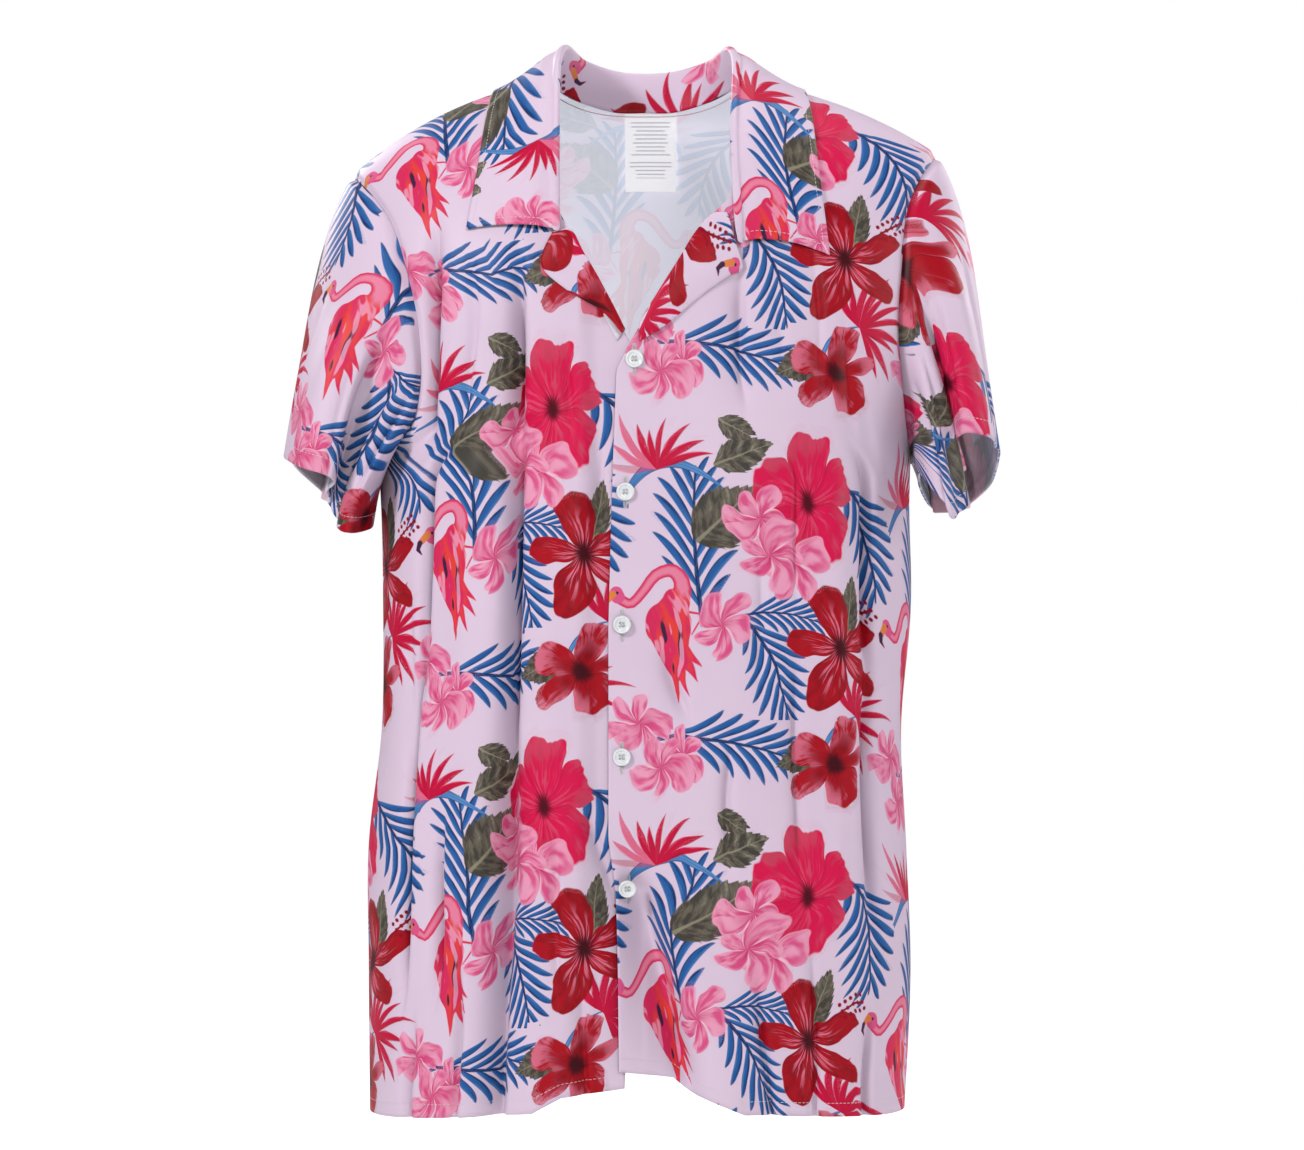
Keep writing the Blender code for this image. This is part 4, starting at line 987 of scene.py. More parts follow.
def add_cloth_layers(mesh, piece, run, inside, place):
    """Face-corner layers: flat coordinates and the side of the cloth, the print's layers, the bake map."""
    # The back's wrong side is numbered 2: it gets a painted glow, standing in for light through the cloth.
    painted_glow = 2.0 if piece == "back" else 1.0
    cloth = np.concatenate([run, np.repeat(inside * painted_glow, 4).reshape(-1, 4, 1)], -1)
    add_layer(mesh, "cloth", cloth)
    *corner, lean = TILES[piece]
    flat_mm = (run - np.array(corner)) * 1000
    flat_mm = flat_mm - lean * flat_mm[..., 1:] * [1, 0]
    for layer, motifs in MOTIFS.items():
        add_layer(mesh, layer, laid_print(flat_mm, motifs, REACHES[layer]))
    bake = mesh.uv_layers.new(name="OFBake")
    margin = 0.005
    half = place * [0.5 - 2 * margin, 1 - 2 * margin] + margin
    half[..., 0] += np.where(inside > 0, 0.5, 0.0)[:, None]
    bake.data.foreach_set("uv", half.astype(np.float32).ravel())


def add_layer(mesh, name, values):
    """Gives each face corner of a mesh three numbers of its own."""
    layer = mesh.attributes.new(name, "FLOAT_VECTOR", "CORNER")
    layer.data.foreach_set("vector", values.astype(np.float32).ravel())


def laid_print(flat, motifs, reach):
    """For each corner its place in the nearest motif's own lengths, and that motif's kind.

    The repeat is a lattice, so each motif has one copy nearest to a face: the face's middle, less the
    motif's place, is brought into the lattice's first cell.  Among the motifs the one wins whose box the
    middle lies deepest in.  Outside every box a corner is sent far away, where nothing is printed.
    """
    lattice = np.array([REPEAT_ACROSS, REPEAT_DOWN])
    to_lattice = np.linalg.inv(lattice)
    middle = flat.mean(axis=1)
    behind, ahead, aside = reach
    best = np.ones(len(flat))
    laid = np.broadcast_to(np.array(FAR_AWAY), (*flat.shape[:2], 3)).copy()
    for motif in rows_of(motifs):
        turn = np.radians(motif["turn"])
        axis = np.array([np.cos(turn), np.sin(turn)]) / motif["length"]
        side = np.array([-np.sin(turn), np.cos(turn)]) / motif["width"]
        centre_p = (behind + ahead) / 2
        heart = np.array([motif["x"], motif["y"]])
        box_centre = heart + centre_p * motif["length"] * np.array([np.cos(turn), np.sin(turn)])
        copy = np.round((middle - box_centre) @ to_lattice) @ lattice
        p = (middle - copy - heart) @ axis
        q = (middle - copy - heart) @ side
        deep = np.maximum(np.abs(p - centre_p) / ((ahead - behind) / 2), np.abs(q) / aside)
        chosen = deep < best
        best = np.where(chosen, deep, best)
        local = flat[chosen] - copy[chosen][:, None] - heart
        kind = np.full(local.shape[:2], motif["kind"])
        laid[chosen] = np.stack([local @ axis, local @ side, kind], -1)
    return laid


# ---- Paint: numbers and colours on their way through a material's nodes ----


class Value:
    """A number, colour or place in a material's nodes.  Arithmetic on it adds Math nodes."""

    def __init__(self, socket):
        self.socket, self.tree = socket, socket.id_data

    def math(self, operation, *others, first=()):
        """The number put through a Math node, after those that come first and before the others."""
        return Value(add_node("Math", *first, self, *others, operation=operation).outputs[0])

    def __add__(self, other):
        return self.math("ADD", other)

    def __sub__(self, other):
        return self.math("SUBTRACT", other)

    def __rsub__(self, other):
        return self.math("SUBTRACT", first=[other])

    def __mul__(self, other):
        return self.math("MULTIPLY", other)

    def __truediv__(self, other):
        return self.math("DIVIDE", other)

    def __pow__(self, other):
        return self.math("MAXIMUM", 0.0).math("POWER", other)

    def __abs__(self):
        return self.math("ABSOLUTE")

    __radd__, __rmul__ = __add__, __mul__

    def low(self, other):
        return self.math("MINIMUM", other)

    def high(self, other):
        return self.math("MAXIMUM", other)

    def between(self, start, end):
        """0 up to start and 1 past end, with a soft change between.  The start may be the greater one."""
        return Value(add_node("MapRange", self, start, end, interpolation_type="SMOOTHSTEP").outputs[0])

    def over(self, limit=0.0, soft=0.02):
        """1 where the number is over the limit."""
        return self.between(limit - soft, limit + soft)

    def under(self, limit=0.0, soft=0.02):
        """1 where the number is under the limit."""
        return self.between(limit + soft, limit - soft)

    def clamped(self):
        """The number, kept between 0 and 1."""
        return Value(add_node("Clamp", self).outputs[0])


def add_node(kind, *values, slots=range(9), **settings):
    """A node of this kind in the tree that its values come from, with its inputs fed by them in turn."""
    tree = next(value.tree for value in values if isinstance(value, Value))
    node = tree.nodes.new("ShaderNode" + kind)
    for name, setting in settings.items():
        setattr(node, name, setting)
    for slot, value in zip(slots, values):
        feed(node.inputs[slot], value)
    return node


def feed(slot, value):
    """Links a value to an input, or sets the input to a plain number or colour."""
    if isinstance(value, Value):
        value.tree.links.new(value.socket, slot)
    elif slot.type == "RGBA":
        slot.default_value = (*value, 1)
    else:
        slot.default_value = value


def fill(node, inputs):
    """Feeds a node's inputs, each given by its name."""
    for name, value in inputs.items():
        feed(node.inputs[name], value)


def vector(*parts):
    return Value(add_node("CombineXYZ", *parts).outputs[0])


def layer_values(tree, name):
    """The three numbers that a mesh layer holds."""
    attribute = tree.nodes.new("ShaderNodeAttribute")
    attribute.attribute_name = name
    return separated(Value(attribute.outputs["Vector"]))


def separated(value):
    """A vector's or a colour's three numbers."""
    return [Value(socket) for socket in add_node("SeparateXYZ", value).outputs]


def object_place(tree):
    """The place on the object, in metres."""
    return Value(tree.nodes.new("ShaderNodeTexCoord").outputs["Object"])


def noise(at, scale, detail=2.0, roughness=0.5, output="Fac"):
    """Soft noise at two numbers, or at a place in space."""
    flat = isinstance(at, tuple)
    node = add_node("TexNoise", vector(*at) if flat else at, noise_dimensions="2D" if flat else "3D")
    fill(node, {"Scale": scale, "Detail": detail, "Roughness": roughness})
    return Value(node.outputs[output])


def scatter(*numbers):
    """A steady random number from 0 to 1 for each set of whole numbers."""
    node = add_node("TexWhiteNoise", vector(*numbers), noise_dimensions="3D")
    return Value(node.outputs["Value"])


def mixed(share, first, second):
    """first where share is 0 and second where it is 1."""
    return Value(add_node("Mix", share, first, second, slots=(0, 6, 7), data_type="RGBA").outputs[2])


def shade(name, share=1.0):
    """One of the shirt's colours as a plain tuple, or a share of it."""
    return tuple(part * share for part in getattr(colours(), name))


# ---- The motifs, each drawn by formula in its own lengths ----

LEAFLETS = 8
BLADE_APART = 0.34  # angle from one blade of the spikes to the next


def hypot(p, q):
    return (p * p + q * q).math("SQRT")


def polar(p, q):
    """Distance from the motif's heart and angle round it."""
    return hypot(p, q), q.math("ARCTAN2", p)


def petals(p, q, kind, crowding, phase, twist, seed):
    """Five petals in polar coordinates, crowded together in pairs and twisted outwards.

    Gives the distance from the heart, the angle in petals, the petal's number, the place across it from -1
    to 1, and the petal's chance.
    """
    radius, turn = polar(p, q)
    crowded = turn + crowding * (turn * 2 + kind * phase).math("SINE")
    angle = crowded / (2 * np.pi) * 5 + 2.5 + radius * twist
    index = angle.math("FLOOR")
    return radius, angle, index, (angle - index - 0.5) * 2, scatter(index, kind, seed)


def strayed(p, q, kind, scale, amount):
    """The same place moved a little by noise, so that a formula's edges look painted by hand."""
    tint = noise((p + kind * 3.7, q), scale, 1, output="Color")
    moved = [(part - 0.5) * amount for part in separated(tint)]
    return p + moved[0], q + moved[1]


def paint_frond(p, q, kind, stems=True):
    """Palm frond along a bowed rib, with curved leaflets on both sides and, for kind 9, a plain stem.

    A leaflet leaves its rib steeply and bends outward as it goes, so the place where it starts is found by
    running back down that bend.  Its half width rises and falls along it, and its reach follows the
    frond's outline.
    """
    is_stem = kind.over(5)
    q = q - kind.low(1.0) * 4 * p * (1 - p)
    side = q.over(0, 0.0001)
    a = abs(q)
    start = p - a * (0.62 + 0.08 * side) + 0.30 * a * a
    place = start * LEAFLETS + side * 0.45
    index = place.math("FLOOR")
    chance = scatter(index, side, kind)
    at = (index + 0.5 - side * 0.45) / LEAFLETS
    reach = (1 - 0.45 * (1 - at) ** 4) * (1 - 0.84 * at**2.2) * (0.82 + 0.18 * chance)
    x = a / reach
    off = place - index - 0.5 + (chance - 0.5) * 0.22 * x
    half = 0.78 * x**0.42 * (1 - x) ** 0.80
    in_run = at.over(0.01, 0.001) * at.under(0.99, 0.001)
    leaflet = (half - abs(off)).over(0, 0.045) * in_run * x.under(0.995, 0.005)
    rib = (0.050 - 0.030 * p - a).over(0, 0.012) * p.over(0, 0.01) * p.under(1.02, 0.01)
    across = off / half.high(0.02)
    streak = noise((across * 1.8 + index * 5.3 + side * 31, x * 1.6), 1.5, 3)
    edge = across + (streak - 0.5) * 2.4
    tone = mixed(edge.between(0.15, 1.0) * 0.85, shade("palm"), shade("palm_edge"))
    tone = mixed(edge.between(-0.15, -1.0) * 0.45, tone, shade("stem"))
    tone = mixed(rib * 0.7, tone, shade("palm_edge"))
    mask = leaflet.high(rib) * (1 - is_stem)
    if not stems:
        return tone, mask
    width = 0.115 * (p * (1 - p) * 4) ** 0.6 + 0.02
    stem_mask = (width - a).over(0, 0.012) * is_stem * p.over(0, 0.01) * p.under(1, 0.01)
    lines = noise((q * 22, p * 3), 1.0, 2)
    stem_tone = mixed(lines.between(0.38, 0.62) * 0.6, shade("stem"), shade("palm"))
    stem_tone = mixed((a / width).between(0.72, 0.95) * 0.8, stem_tone, shade("palm_edge"))
    return mixed(is_stem, tone, stem_tone), mask.high(stem_mask)


def paint_low_frond(p, q, kind):
    """Palm frond of the layer that has no stems."""
    return paint_frond(p, q, kind, stems=False)


def paint_leaf(p, q, kind):
    """Olive leaf: a pointed oval with a toothed edge, a pale midrib and side veins that lean forward."""
    p, q = strayed(p, q, kind, 2.5, 0.10)
    a = abs(q)
    side = q.over(0, 0.01)
    vein_run = (p - a * 0.26) * 8 + kind * 0.3 + side * 0.4
    within = vein_run - vein_run.math("FLOOR")
    half = 3.3 * p**0.78 * (1 - p) ** 1.12 - 0.11 * (1 - within) * p.between(0.1, 0.3)
    mask = (half - a).over(0, 0.03) * p.over(0, 0.01) * p.under(1, 0.01)
    vein = abs(within - 0.5).between(0.36, 0.50)
    wash = noise((vein_run * 0.8 + kind * 5, a * 1.3), 1.3, 3, 0.6)
    tone = mixed(wash.between(0.36, 0.60), shade("leaf_shade"), shade("leaf"))
    tone = mixed(wash.between(0.58, 0.74) * 0.5, tone, display(0.66, 0.65, 0.58))
    tone = mixed(vein * 0.40, tone, shade("leaf_shade"))
    midrib = (0.055 * (1.1 - p) - a).over(0, 0.02)
    return mixed(midrib * 0.6, tone, display(0.64, 0.62, 0.52)), mask


def paint_spikes(p, q, kind):
    """Fan of slim curved blades from one base, crimson with pink edges; kind 2 opens all round."""
    radius, turn = polar(p, q)
    angle = (turn + 0.30 * radius * radius) / BLADE_APART
    index = (angle + 0.5).math("FLOOR")
    chance = scatter(index, kind, 3.0)
    local = (angle - index) * BLADE_APART + (chance - 0.5) * 0.16
    reach = 0.58 + 0.42 * scatter(index, kind, 8.0)
    along = radius * local.math("COSINE") / reach
    aside = radius * local.math("SINE")
    half = 0.175 * along**0.62 * (1 - along) ** 0.95 * (0.75 + 0.5 * chance)
    first, last = -0.5 - 2 * kind, 5.8 + 0.2 * kind
    fan = (index - first).over(0, 0.01) * (last - index).over(0, 0.01)
    mask = (half - abs(aside)).over(0, 0.010) * fan * along.under(0.99, 0.01)
    across = aside / half.high(0.008)
    streak = noise((across * 1.2 + index * 3, along * 1.5), 1.3, 2) - 0.5
    edge = across + streak * 1.4
    tone = mixed(edge.between(0.55, 1.05), shade("spike"), shade("spike_light"))
    tone = mixed(edge.between(-0.4, -1.1) * 0.7, tone, shade("spike", 0.55))
    return mixed(chance.over(0.85, 0.01) * 0.6, tone, shade("spike_light")), mask


def paint_bloom(p, q, kind):
    """Five ruffled petals round a dark heart.

    A petal's edge lies at its own reach less a falloff to both sides.  Kind 1 has broad petals, kind 2
    pointed ones and a long pistil, kind 3 a black heart.
    """
    strayed_place = strayed(p, q, kind, 1.5, 0.26)
    radius, angle, _, local, chance = petals(*strayed_place, kind, 0.24, 1.9, 0.10, 1.0)
    broad, black = kind.under(1.5, 0.01), kind.over(2.5, 0.01)
    pointed = 1 - broad - black
    falloff = 0.36 * broad + 0.82 * pointed + 0.60 * black
    power = 4.2 * broad + 1.7 * pointed + 2.6 * black
    ruffle = noise((angle * 2.4, kind * 4), 1.6, 2) - 0.5
    reach = (0.84 + 0.24 * chance) * (1 - falloff * abs(local) ** power) + ruffle * 0.20
    mask = (reach - radius).over(0, 0.014)
    share = radius / reach.high(0.05)
    ray = noise((angle * 7.0 + kind * 7, radius * 1.2), 1.6, 2, 0.65)
    wash = noise((p * 2.2 + kind * 9, q * 2.2), 1.0, 2)
    red = mixed(broad, shade("bloom_red"), shade("bloom"))
    deep = mixed(broad, display(0.50, 0.02, 0.08), display(0.74, 0.02, 0.22))
    tone = mixed((wash * 0.5 + ray * 0.5).between(0.42, 0.66) * 0.8, red, deep)
    inner_light = ray.between(0.50, 0.66) * share.between(0.06, 0.22) * (1 - share.between(0.35, 0.80))
    rim_light = (ray * 0.4 + wash * 0.6).between(0.44, 0.60) * share.between(0.35, 0.95)
    light = inner_light * (pointed + 0.35 * broad) + rim_light * (0.30 * broad + 0.90 * black)
    tone = mixed(light.low(1.0) * 0.80, tone, shade("bloom_light"))
    overlap = local.between(0.72, 0.98) * (1 - share.between(0.75, 1.0))
    tone = mixed(overlap * 0.55, tone, deep)
    heart = (radius + ray * 0.20 - 0.10).between(0.19 + 0.08 * black, 0.06 + 0.06 * black)
    tone = mixed(heart * 0.92, tone, shade("bloom_heart"))
    along = p * 0.34 - q * 0.94
    aside = p * 0.94 + q * 0.34 + along * along * 0.10
    pistil = abs(aside).under(0.016, 0.006) * along.over(0.05, 0.01) * along.under(1.16, 0.01)
    dot_place, dot_side = (along - 0.95) * 10, aside * 10
    dot_x = dot_place - dot_place.math("ROUND")
    dot_y = dot_side - dot_side.math("ROUND")
    dots = hypot(dot_x, dot_y).under(0.30, 0.08)
    dots = dots * abs(dot_side).under(1.6, 0.1) * abs(dot_place).under(2.4, 0.1)
    long_pistil = pistil.high(dots) * pointed
    tone = mixed(long_pistil, tone, display(0.56, 0.03, 0.14))
    return tone, mask.high(long_pistil)


def paint_blossom(p, q, kind):
    """Small blossom of five rounded petals set like a pinwheel, each with one pale edge."""
    p, q = strayed(p, q, kind, 1.6, 0.22)
    radius, _, index, local, chance = petals(p, q, kind, 0.30, 2.3, 0.50, 2.0)
    reach = (0.72 + 0.30 * chance) * (1 - 0.55 * abs(local) ** 2.6)
    mask = (reach - radius).over(0, 0.020)
    share = radius / reach.high(0.05)
    wash = noise((local * 1.4 + index * 4 + kind * 6, share * 1.2), 1.2, 2)
    tone = mixed(wash.between(0.36, 0.64), shade("blossom"), shade("blossom_light"))
    deep = share.between(0.62, 0.07) * 0.55 + local.between(0.1, 1.0) * 0.40 * (1 - share * 0.5)
    tone = mixed(deep.low(1.0), tone, display(0.82, 0.16, 0.42))
    line = abs(local).between(0.84, 0.98) * share.between(0.1, 0.4) * 0.75
    tone = mixed(line, tone, display(0.99, 0.86, 0.92))
    return mixed(share.between(0.82, 1.0) * 0.55, tone, shade("blossom_light")), mask


def capsule(at, start, end, start_radius, end_radius):
    """Distance outside a line with round ends whose radius changes evenly, negative inside."""

    def vector_math(operation, *values, slots=(0, 1), output="Vector"):
        node = add_node("VectorMath", *values, slots=slots, operation=operation)
        return Value(node.outputs[output])

    line = np.subtract(end, start)
    from_start = vector_math("SUBTRACT", at, (*start, 0))
    share = vector_math("DOT_PRODUCT", from_start, (*(line / (line @ line)), 0), output="Value")
    share = share.clamped()
    nearest = vector_math("SCALE", (*line, 0), share, slots=(0, 3))
    gap = vector_math("LENGTH", vector_math("SUBTRACT", from_start, nearest), output="Value")
    return gap - share.math("MULTIPLY_ADD", end_radius - start_radius, start_radius)


def union(shapes):
    """The least of several distances, which is the distance outside all of the shapes."""
    whole = shapes[0]
    for shape in shapes[1:]:
        whole = whole.low(shape)
    return whole


def chain(at, *stops):
    """Union of capsules through stops, each an x, a y and a radius."""
    pairs = zip(stops, stops[1:])
    return union([capsule(at, a[:2], b[:2], a[2], b[2]) for a, b in pairs])


def neck_stops():
    """Stops of the wading bird's neck, close enough together to look smoothly bent."""
    bend = table(
        "x y radius", (0.14, 0.34, 0.14), (0.18, 0.60, 0.110), (0.05, 0.77, 0.090), (-0.17, 0.71, 0.078),
        (-0.34, 0.49, 0.070), (-0.50, 0.33, 0.066), (-0.66, 0.40, 0.072),
    )
    along = np.linspace(0, 6, 17)
    return np.stack([smooth(along, np.arange(7.0), column) for column in bend.values()], -1)


def paint_bird(p, q, kind):
    """Wading bird: a drop-shaped body with feathered tail, an S-shaped neck, a hooked beak and a bent leg."""
    at = vector(p, q)
    stray_p, stray_q = strayed(p, q, kind, 3.0, 0.05)
    soft = vector(stray_p, stray_q)
    body = chain(soft, (0.10, 0.36, 0.18), (0.00, 0.06, 0.31), (0.08, -0.36, 0.19), (0.14, -0.66, 0.08))
    feathers = (
        (0.10, -0.30, 0.13, 0.16, -1.02), (0.10, -0.30, 0.12, 0.34, -0.90),
        (0.12, -0.28, 0.11, 0.47, -0.70), (0.14, -0.20, 0.10, 0.46, -0.50),
    )
    tail = union([capsule(soft, (x, y), tip, thick, 0.004) for x, y, thick, *tip in feathers])
    neck = chain(at, *neck_stops())
    head = capsule(at, (-0.67, 0.42), (-0.69, 0.47), 0.092, 0.086)
    beak = chain(at, (-0.74, 0.45, 0.050), (-0.82, 0.36, 0.042))
    tip = chain(at, (-0.84, 0.34, 0.040), (-0.86, 0.26, 0.030), (-0.80, 0.19, 0.008))
    leg = chain(at, (0.20, 0.24, 0.018), (0.46, 0.20, 0.013), (0.31, -0.06, 0.011))
    along = stray_p * 0.25 - stray_q * 0.97
    aside = stray_p * 0.97 + stray_q * 0.25 + 0.25 * along * along
    feather = noise((aside * 7, along * 1.5), 1.0, 1)
    plume = union([body, tail])
    tone = mixed(feather.between(0.40, 0.60), shade("bird"), shade("bird_pink"))
    tone = mixed(plume.between(-0.07, 0.0) * 0.55, tone, shade("bird_pink"))
    wing = capsule(at, (0.02, 0.02), (0.16, -0.55), 0.17, 0.10)
    on_wing = wing.between(0.01, -0.05)
    dark = noise((aside * 9 + 4, along * 1.9), 1.0, 1).between(0.55, 0.62)
    tone = mixed(dark * on_wing, tone, shade("bird_ink"))
    pale = noise((aside * 11 + 9, along * 2.2), 1.0, 1).between(0.58, 0.66)
    tone = mixed(pale * body.under(0.03, 0.02) * 0.75, tone, shade("blossom_light"))
    neck_rim = neck.between(-0.01, -0.06)
    neck_tone = mixed(neck_rim, shade("bird_pink"), display(0.93, 0.52, 0.64))
    tone = mixed(((body - neck) * 8).between(-0.2, 0.8), tone, neck_tone)
    tone = mixed(head.under(0, 0.01), tone, shade("blossom"))
    tone = mixed(hypot(p + 0.68, q - 0.47).under(0.020, 0.006), tone, shade("bird_ink"))
    tone = mixed(beak.under(0, 0.01), tone, shade("beak"))
    tone = mixed(tip.under(0, 0.01), tone, shade("bird_ink"))
    return tone, union([plume, neck, head, beak, tip, leg]).under(0, 0.008)


PAINTERS = {
    "fronds_low": paint_low_frond,
    "fronds_high": paint_frond,
    "leaves": paint_leaf,
    "spikes": paint_spikes,
    "bird": paint_bird,
    "blooms": paint_bloom,
    "blossoms_low": paint_blossom,
    "blossoms_high": paint_blossom,
}


def new_material(name, roughness, specular):
    """A material with its nodes, its one shader and that shader's steady values set on the shader."""
    material = bpy.data.materials.new(name)
    material.use_nodes = True
    shader = material.node_tree.nodes["Principled BSDF"]
    fill(shader, {"Roughness": roughness, "Specular IOR Level": specular})
    return material, material.node_tree, shader


def add_bump(shader, height, strength, distance):
    bump = height.tree.nodes.new("ShaderNodeBump")
    fill(bump, {"Strength": strength, "Distance": distance, "Height": height})
    feed(shader.inputs["Normal"], Value(bump.outputs[0]))


def threads(run, pitch):
    """Waves across threads that lie so many millimetres apart."""
    return (run * (2000 * np.pi / pitch)).math("SINE")


def printed_cloth():
    """Satin-faced polyester, printed on the right side, with the print showing faintly through the wrong, and
    a painted glow on the back's wrong side.
    """
    material, tree, shader = new_material("printed satin", 0.42, 0.16)
    u, v, side = layer_values(tree, "cloth")  # side: 0 right, 1 wrong, 2 wrong with a painted glow standing in for light through the cloth
    inside, painted_glow = side.low(1.0), side.over(1.5, 0.1)
    wash = noise((u * 14, v * 14), 1.0, 2)
    face = mixed(wash.between(0.3, 0.7) * 0.22, shade("ground"), display(0.86, 0.77, 0.87))
    for name, painter in PAINTERS.items():
        tone, mask = painter(*layer_values(tree, name))
        face = mixed(mask, face, tone)
    weave = threads(u, 0.55) * threads(v, 0.55)
    reverse = mixed(wash.between(0.3, 0.7) * 0.3, shade("reverse"), display(0.89, 0.87, 0.91))
    ghost = mixed(0.44, reverse, face)
    cloth = mixed(inside, face, ghost)
    looks = {
        "Base Color": mixed(weave.between(-1.0, 1.0) * 0.05, cloth, display(0.30, 0.24, 0.34)),
        "Roughness": 0.36 + 0.10 * wash + 0.16 * inside,
        # Painted glow: the back's wrong side gives off light of its own, standing in for the light that
        # reaches it.
        "Emission Color": shade("reverse"),
        "Emission Strength": 0.44 * painted_glow,
    }
    fill(shader, looks)
    add_bump(shader, weave * 0.5 + noise((u * 900, v * 900), 1.0, 2), 0.10, 0.0002)
    return material


def thread_material(name, tone):
    """Twisted thread: fine slanting lines with a soft sheen."""
    material, tree, shader = new_material(name, 0.55, 0.3)
    twist = add_node("TexWave", object_place(tree), bands_direction="DIAGONAL")
    fill(twist, {"Scale": 900})
    lines = Value(twist.outputs["Fac"])
    fill(shader, {"Base Color": mixed(lines, shade(tone, 0.72), shade(tone)), "Sheen Weight": 0.2})
    add_bump(shader, lines, 0.3, 0.0001)
    return material


def button_material():
    """Glossy white plastic with a faint cloudy depth."""
    material, tree, shader = new_material("button plastic", 0.22, 0.5)
    cloud = noise(object_place(tree), 320, 3)
    looks = {
        "Base Color": mixed(cloud.between(0.35, 0.7), shade("button"), shade("button", 0.93)),
        "Roughness": 0.18 + 0.14 * cloud,
        "Coat Weight": 0.3,
        "Coat Roughness": 0.12,
    }
    fill(shader, looks)
    add_bump(shader, cloud, 0.05, 0.0002)
    return material


def label_material():
    """Woven satin label with plain grey rules, some of them left out, in place of wording, and a painted glow
    that brightens it.
    """
    material, tree, shader = new_material("label satin", 0.5, 0.4)
    x, y, _ = layer_values(tree, "label")
    row = y * 1000 / 2.6
    number = row.math("FLOOR")
    line = row - number
    reach = 0.010 + 0.005 * scatter(number, 2.0, 5.0)
    rule = abs(line - 0.5).under(0.16, 0.05) * (reach - abs(x)).over(0, 0.0002)
    rule = rule * y.over(0.006, 0.0002) * y.under(0.043, 0.0002) * number.over(0, 0.1)
    kept = scatter(number, 7.0, 1.0).over(0.16, 0.01)
    weave = threads(y, 0.35)
    tone = mixed(weave.between(-1, 1) * 0.05, shade("label"), display(0.84, 0.84, 0.87))
    tone = mixed(rule * kept * 0.75, tone, shade("label_rule"))
    fill(shader, {"Base Color": tone, "Sheen Weight": 0.15})
    # Painted glow: the label gives off light of its own so that it looks brighter than the lamps make it.
    fill(shader, {"Emission Color": tone, "Emission Strength": 0.52})
    add_bump(shader, weave, 0.12, 0.0001)
    return material


def camera_sees(tree):
    """1 for what the camera looks at, and 0 for the light that it gives to other things."""
    return Value(tree.nodes.new("ShaderNodeLightPath").outputs["Is Camera Ray"])


def floor_material():
    """Pale matt studio floor with a barely visible mottle, overexposed to white where it is seen."""
    material, tree, shader = new_material("studio floor", 0.85, 0.15)
    mottle = noise(object_place(tree), 3.0, 3)
    looks = {
        "Base Color": mixed(mottle, shade("floor", 0.97), shade("floor")),
        "Emission Color": (1, 1, 1),
        "Emission Strength": camera_sees(tree) * 0.85,
    }
    fill(shader, looks)
    return material


# ---- Stitches, buttons and buttonholes ----


def beads(name, slot, lines, material, size, pitch, slant=0.0, sides=5):
    """Rounded stitches laid end to end along lines of points with normals.

    One bead is a lathe of a half sine, blunted at its ends; each copy is set on its line by the line's own
    tangent, the normal and their cross product, all as one array.  A slant turns the tangent aside.
    """
    long_, thick = size
    across = np.linspace(0, np.pi, 6)
    around = np.linspace(0, 2 * np.pi, sides, endpoint=False)
    axial = -np.cos(across)[:, None] * long_ / 2 + 0 * around
    radial = np.sin(across)[:, None] ** 0.6 * thick / 2
    bead = np.stack([axial, radial * np.cos(around), radial * np.sin(around)], -1).reshape(-1, 3)
    corner = np.arange(len(bead)).reshape(-1, sides)
    quads = grid_faces(np.concatenate([corner, corner[:, :1]], axis=1))[:, ::-1]
    points, faces, start = [], [], 0
    for line, normal in lines:
        run = run_along(line)
        count = max(int(run[-1] / pitch), 1)
        at = (np.arange(count) + 0.5) * run[-1] / count
        along = unit(along_line(at + pitch / 3, run, line) - along_line(at - pitch / 3, run, line))
        lift = unit(along_line(at, run, normal))
        along = unit(along + unit(np.cross(lift, along)) * slant)
        axes = np.stack([along, unit(np.cross(lift, along)), lift], 1)
        placed = along_line(at, run, line)[:, None] + bead @ axes
        points.append(placed.reshape(-1, 3))
        faces.append((quads + start + np.arange(count)[:, None, None] * len(bead)).reshape(-1, 4))
        start += count * len(bead)
    obj = new_object(name, np.concatenate(points), np.concatenate(faces), material)
    weld_poles(obj)


def weld_poles(obj):
    """Merges the ring of points at each pole into one, so that every lathe is closed."""
    made = bmesh.new()
    made.from_mesh(obj.data)
    bmesh.ops.remove_doubles(made, verts=made.verts, dist=1e-6)
    bmesh.ops.recalc_face_normals(made, faces=made.faces)
    made.to_mesh(obj.data)
    made.free()
    obj.data.shade_smooth()


def button_place(node):
    """Middle and outward direction of a button's solid: its centre and its shortest axis."""
    points = np.array([v.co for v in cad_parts[node].data.vertices])
    middle = (points.min(axis=0) + points.max(axis=0)) / 2
    axis = np.linalg.svd(points - points.mean(axis=0), full_matrices=False)[2][-1]
    return middle, axis * -np.sign(axis[1])


